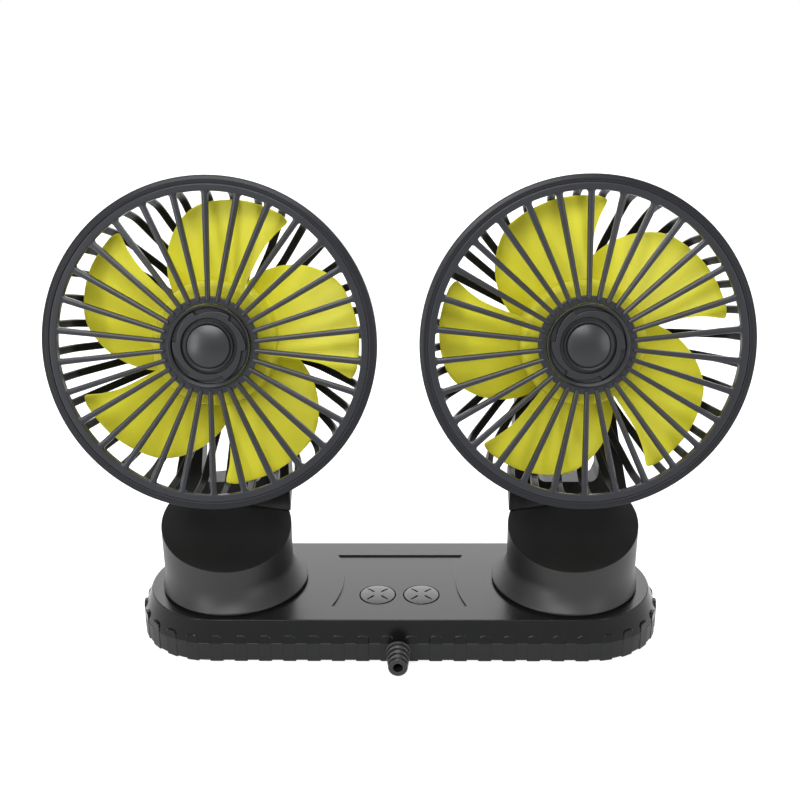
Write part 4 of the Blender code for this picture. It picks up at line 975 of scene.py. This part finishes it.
def make_cap(side):
    dome = []
    for step in range(DOME_STEPS + 1):
        share = step / DOME_STEPS
        dome.append((CAP_DOME_RADIUS * share, CAP_TOP - CAP_DOME_RISE * share ** 2))
    groove = CAP_TOP - CAP_DOME_RISE - CAP_GROOVE
    profile = dome + soften([(CAP_DOME_RADIUS + TINY, groove), (CAP_DOME_RADIUS + CAP_LIP, groove),
                             (CAP_RADIUS - CAP_LIP, CAP_RIM_TOP), (CAP_RADIUS, CAP_RIM_TOP - CAP_LIP),
                             (CAP_RADIUS, -CAP_BASE), (0, -CAP_BASE)], [0, 0, CAP_LIP, CAP_LIP, 0, 0])
    shape = bmesh.new()
    revolve(shape, profile, HUB_STEPS)
    add_piece(f"fine_hub_cap_{side}", shape, f"head_{side}", "hub",
              [f"hub_cap_{side}"], place=head_place(side))


def blade_place(span, share):
    """A place on the blade's middle surface, by its shares of the span and of the chord."""
    start = smooth_value(BLADE_EDGE_SHARES, 1, span)
    end = smooth_value(BLADE_EDGE_SHARES, 2, span)
    radius = BLADE_ROOT_RADIUS + (FAN_RADIUS - BLADE_ROOT_RADIUS) * span
    turn = BLADE_TIP_TURN * (start + (end - start) * share)
    height = -FAN_MIDDLE + FAN_PITCH * (turn + BLADE_TIP_TURN * BLADE_LEAN_SHARE)
    return Vector((radius * math.sin(turn), radius * math.cos(turn), height))


def add_blade(shape, turn):
    """A thin twisted blade with rounded edges."""
    faces = {1: [], -1: []}
    spin = Matrix.Rotation(-turn, 3, "Z")
    for row in range(BLADE_ROWS + 1):
        span = 1 - (1 - row / BLADE_ROWS) ** BLADE_ROW_POWER
        for way in faces:
            faces[way].append([])
        for column in range(BLADE_COLUMNS + 1):
            share = column / BLADE_COLUMNS
            place = blade_place(span, share)
            edge = min(min(share, 1 - share, (1 - span) * BLADE_TIP_EASE) * BLADE_EDGE_EASE, 1)
            thick = BLADE_HALF_THICKNESS * math.sqrt(edge * (2 - edge))
            for way in faces:
                lifted = place + Vector((0, 0, way * thick))
                faces[way][-1].append(shape.verts.new(spin @ lifted))
    for way in faces:
        for low, high in zip(faces[way], faces[way][1:]):
            bridge(shape, low, high, closed=False)
    bridge(shape, faces[1][0], faces[-1][0], closed=False)


def make_impeller(side):
    front, back = -FAN_HUB_FRONT, -FAN_HUB_BACK
    inner = FAN_HUB_RADIUS - FAN_HUB_WALL
    sink = front - FAN_HUB_WALL
    profile = [(0, front), (FAN_HUB_RADIUS, front), (FAN_HUB_RADIUS, back), (inner, back), (inner, sink),
               (FAN_BOSS_RADIUS, sink), (FAN_BOSS_RADIUS, back), (FAN_BORE, back), (FAN_BORE, sink),
               (0, sink)]
    corners = [0, FAN_HUB_EDGE, PLAIN_EDGE, PLAIN_EDGE, INNER_EDGE, INNER_EDGE, SMALL_EDGE, SMALL_EDGE, 0, 0]
    shape = bmesh.new()
    revolve(shape, soften(profile, corners), HUB_STEPS)
    for blade in range(FAN_BLADES):
        add_blade(shape, FAN_FIRST_TIP[side] - BLADE_TIP_TURN + blade * 2 * math.pi / FAN_BLADES)
    bmesh.ops.remove_doubles(shape, verts=shape.verts, dist=TINY / 10)
    add_piece(f"fine_impeller_{side}", shape, f"fan_{side}", "blade",
              [f"impeller_{side}"], place=head_place(side))


def cage_line():
    """Side view of a rear rib, from the rim band to the back plate, as (radius, depth)."""
    points = [(CAGE_RADIUS, CAGE_RIM_FRONT + CAGE_RIB_SINK), (CAGE_RADIUS, CAGE_RIM_BACK), CAGE_SHOULDER,
              CAGE_HAUNCH, (CAGE_PLATE_RADIUS - CAGE_RIB_OVERLAP, CAGE_DEPTH)]
    return soften(points, [0, INNER_EDGE, CAGE_BEND, CAGE_BEND, 0])


def add_cage_rib(shape, turn):
    out = Vector((math.cos(turn), math.sin(turn), 0))
    across = Vector((-math.sin(turn), math.cos(turn), 0)) * CAGE_RIB_HALF
    line = [out * radius - Vector((0, 0, depth)) for radius, depth in cage_line()]
    stations = []
    for index, place in enumerate(line):
        along = (line[min(index + 1, len(line) - 1)] - line[max(index - 1, 0)]).normalized()
        inward = along.cross(across).normalized()
        if inward.dot(out) > 0 or (abs(inward.dot(out)) < TINY and inward.z < 0):
            inward = -inward
        stations.append((place, across, inward * CAGE_RIB_DEPTH))
    sweep(shape, stations, CAGE_RIB_SHARES)


def make_cage(side):
    shape = bmesh.new()
    inner = CAGE_RADIUS - CAGE_RIM_WALL
    band = [(CAGE_RADIUS, -CAGE_RIM_FRONT), (CAGE_RADIUS, -CAGE_RIM_BACK), (inner, -CAGE_RIM_BACK),
            (inner, -CAGE_RIM_FRONT)]
    revolve(shape, soften(band, SMALL_EDGE, closed=True), GUARD_STEPS, closed=True)
    for rib in range(CAGE_RIBS):
        add_cage_rib(shape, (rib + 1 / 4) * 2 * math.pi / CAGE_RIBS)
    back = -CAGE_DEPTH
    front = back + CAGE_PLATE
    plate = [(0, front), (CAGE_PLATE_RADIUS, front), (CAGE_PLATE_RADIUS, back), (0, back)]
    revolve(shape, soften(plate, [0, PLAIN_EDGE, PLAIN_EDGE, 0]), HUB_STEPS)
    add_piece(f"fine_rear_cage_{side}", shape, f"head_{side}", "black",
              [f"rear_cage_{side}"], place=head_place(side))


def make_motor(side):
    nose = MOTOR_NOSE - MOTOR_FRONT
    profile = [(0, nose), (MOTOR_NOSE_RADIUS, nose), (MOTOR_NOSE_RADIUS, -MOTOR_FRONT),
               (MOTOR_RADIUS, -MOTOR_FRONT), (MOTOR_RADIUS, -MOTOR_BACK), (0, -MOTOR_BACK)]
    shape = bmesh.new()
    revolve(shape, soften(profile, [0, SMALL_EDGE, SMALL_EDGE, MOTOR_EDGE, FINE_EDGE, 0]), HUB_STEPS)
    add_piece(f"fine_motor_{side}", shape, f"head_{side}", "steel",
              [f"motor_can_{side}"], place=head_place(side))


def make_pod(side):
    front = -CAGE_DEPTH - YOKE_SEAT_GAP
    profile = [(0, front), (POD_RADIUS, front), (POD_RADIUS, -POD_BACK), (0, -POD_BACK)]
    shape = bmesh.new()
    revolve(shape, soften(profile, [0, PLAIN_EDGE, POD_EDGE, 0]), HUB_STEPS)
    depth = (Vector(JOINTS[f"head_tilt_{side}"]["pos_m"]) - head_place(side).translation).length
    half = YOKE_HALF_GAP - YOKE_SEAT_GAP
    profile = [(0, half), (POD_BOSS_RADIUS, half), (POD_BOSS_RADIUS, -half), (0, -half)]
    boss = bmesh.new()
    revolve(boss, soften(profile, [0, PLAIN_EDGE, PLAIN_EDGE, 0]), HUB_STEPS // 2)
    lay = Matrix.Translation((0, 0, -depth)) @ Matrix.Rotation(QUARTER, 4, "Y")
    bmesh.ops.transform(boss, matrix=lay, verts=boss.verts)
    join(shape, boss)
    add_piece(f"fine_pod_{side}", shape, f"head_{side}", "black",
              [f"motor_housing_{side}"], place=head_place(side))


def dress_kept_nodes():
    """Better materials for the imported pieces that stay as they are."""
    finishes = {"circuit_board": "board", "grip_pad": "rubber"}
    for side in SIDES:
        finishes[f"switch_{side}"] = "switch"
        finishes[f"swivel_ring_{side}"] = "steel"
        finishes[f"motor_shaft_{side}"] = "steel"
    for number in range(1, 5):
        finishes[f"cover_screw_{number}"] = "steel"
    for name, finish in finishes.items():
        node = frame["nodes"][name]
        node.data.materials.clear()
        node.data.materials.append(FINISHES[finish])


# Stage
def stage_factor(nodes, links):
    """1 for rays that see the background itself: camera, mirror-like and transmitted ones."""
    path = nodes.new("ShaderNodeLightPath")
    first = nodes.new("ShaderNodeMath")
    first.operation = "MAXIMUM"
    second = nodes.new("ShaderNodeMath")
    second.operation = "MAXIMUM"
    links.new(path.outputs["Is Camera Ray"], first.inputs[0])
    links.new(path.outputs["Is Glossy Ray"], first.inputs[1])
    links.new(first.outputs[0], second.inputs[0])
    links.new(path.outputs["Is Transmission Ray"], second.inputs[1])
    return second.outputs[0]


def make_world():
    world = bpy.data.worlds.new("studio")
    bpy.context.scene.world = world
    world.use_nodes = True
    nodes, links = world.node_tree.nodes, world.node_tree.links
    background = nodes["Background"]
    background.inputs["Color"].default_value = (1, 1, 1, 1)
    level = nodes.new("ShaderNodeMapRange")
    level.inputs["To Min"].default_value = WORLD_LIGHT
    level.inputs["To Max"].default_value = 1.0
    links.new(stage_factor(nodes, links), level.inputs["Value"])
    links.new(level.outputs["Result"], background.inputs["Strength"])


def make_floor():
    shape = bmesh.new()
    bmesh.ops.create_grid(shape, x_segments=2, y_segments=2, size=FLOOR_SIZE / 2)
    mesh = bpy.data.meshes.new("floor")
    shape.to_mesh(mesh)
    shape.free()
    floor = bpy.data.objects.new("floor", mesh)
    bpy.context.scene.collection.objects.link(floor)
    material = bpy.data.materials.new("floor_paper")
    material.use_nodes = True
    nodes, links = material.node_tree.nodes, material.node_tree.links
    nodes.remove(nodes["Principled BSDF"])
    matt = nodes.new("ShaderNodeBsdfDiffuse")
    matt.inputs["Color"].default_value = (FLOOR_GREY, FLOOR_GREY, FLOOR_GREY, 1)
    glow = nodes.new("ShaderNodeEmission")
    level = nodes.new("ShaderNodeMath")
    level.operation = "MULTIPLY"
    level.inputs[1].default_value = FLOOR_GLOW
    links.new(stage_factor(nodes, links), level.inputs[0])
    links.new(level.outputs[0], glow.inputs["Strength"])
    both = nodes.new("ShaderNodeAddShader")
    links.new(matt.outputs[0], both.inputs[0])
    links.new(glow.outputs[0], both.inputs[1])
    links.new(both.outputs[0], nodes["Material Output"].inputs["Surface"])
    mesh.materials.append(material)


def add_softbox(name, place, size, power):
    lamp = bpy.data.lights.new(name, "AREA")
    lamp.shape = "RECTANGLE"
    lamp.size, lamp.size_y = size
    lamp.energy = power
    item = bpy.data.objects.new(name, lamp)
    item.location = place
    item.rotation_euler = (Vector(LAMP_TARGET) - Vector(place)).to_track_quat("-Z", "Y").to_euler()
    item.visible_camera = False
    bpy.context.scene.collection.objects.link(item)


def make_lights():
    for softbox in SOFTBOXES:
        add_softbox(*softbox)


def make_camera():
    """The photograph's camera, from its fitted place, pitch, yaw and roll."""
    forward = Vector((math.sin(CAMERA_YAW) * math.cos(CAMERA_PITCH),
                      math.cos(CAMERA_YAW) * math.cos(CAMERA_PITCH), -math.sin(CAMERA_PITCH)))
    right = Vector((math.cos(CAMERA_YAW), -math.sin(CAMERA_YAW), 0))
    down = forward.cross(right)
    turned_right = right * math.cos(CAMERA_ROLL) + down * math.sin(CAMERA_ROLL)
    turned_down = down * math.cos(CAMERA_ROLL) - right * math.sin(CAMERA_ROLL)
    data = bpy.data.cameras.new("camera")
    data.sensor_width = CAMERA_SENSOR
    data.lens = CAMERA_LENS
    camera = bpy.data.objects.new("camera", data)
    turn = Matrix((turned_right, -turned_down, -forward)).transposed().to_4x4()
    camera.matrix_world = Matrix.Translation(CAMERA_PLACE) @ turn
    bpy.context.scene.collection.objects.link(camera)
    bpy.context.scene.camera = camera


def make_base():
    make_shell()
    make_tray()
    make_boot()
    for side in SIDES:
        make_button(side)


def make_head(side):
    make_turret(side)
    make_yoke(side)
    make_pins(side)
    make_guard(side)
    make_hub(side)
    make_cap(side)
    make_impeller(side)
    make_cage(side)
    make_motor(side)
    make_pod(side)


make_base()
for fan_side in SIDES:
    make_head(fan_side)
dress_kept_nodes()
make_world()
make_floor()
make_lights()
make_camera()
bpy.context.scene.view_settings.view_transform = "Standard"
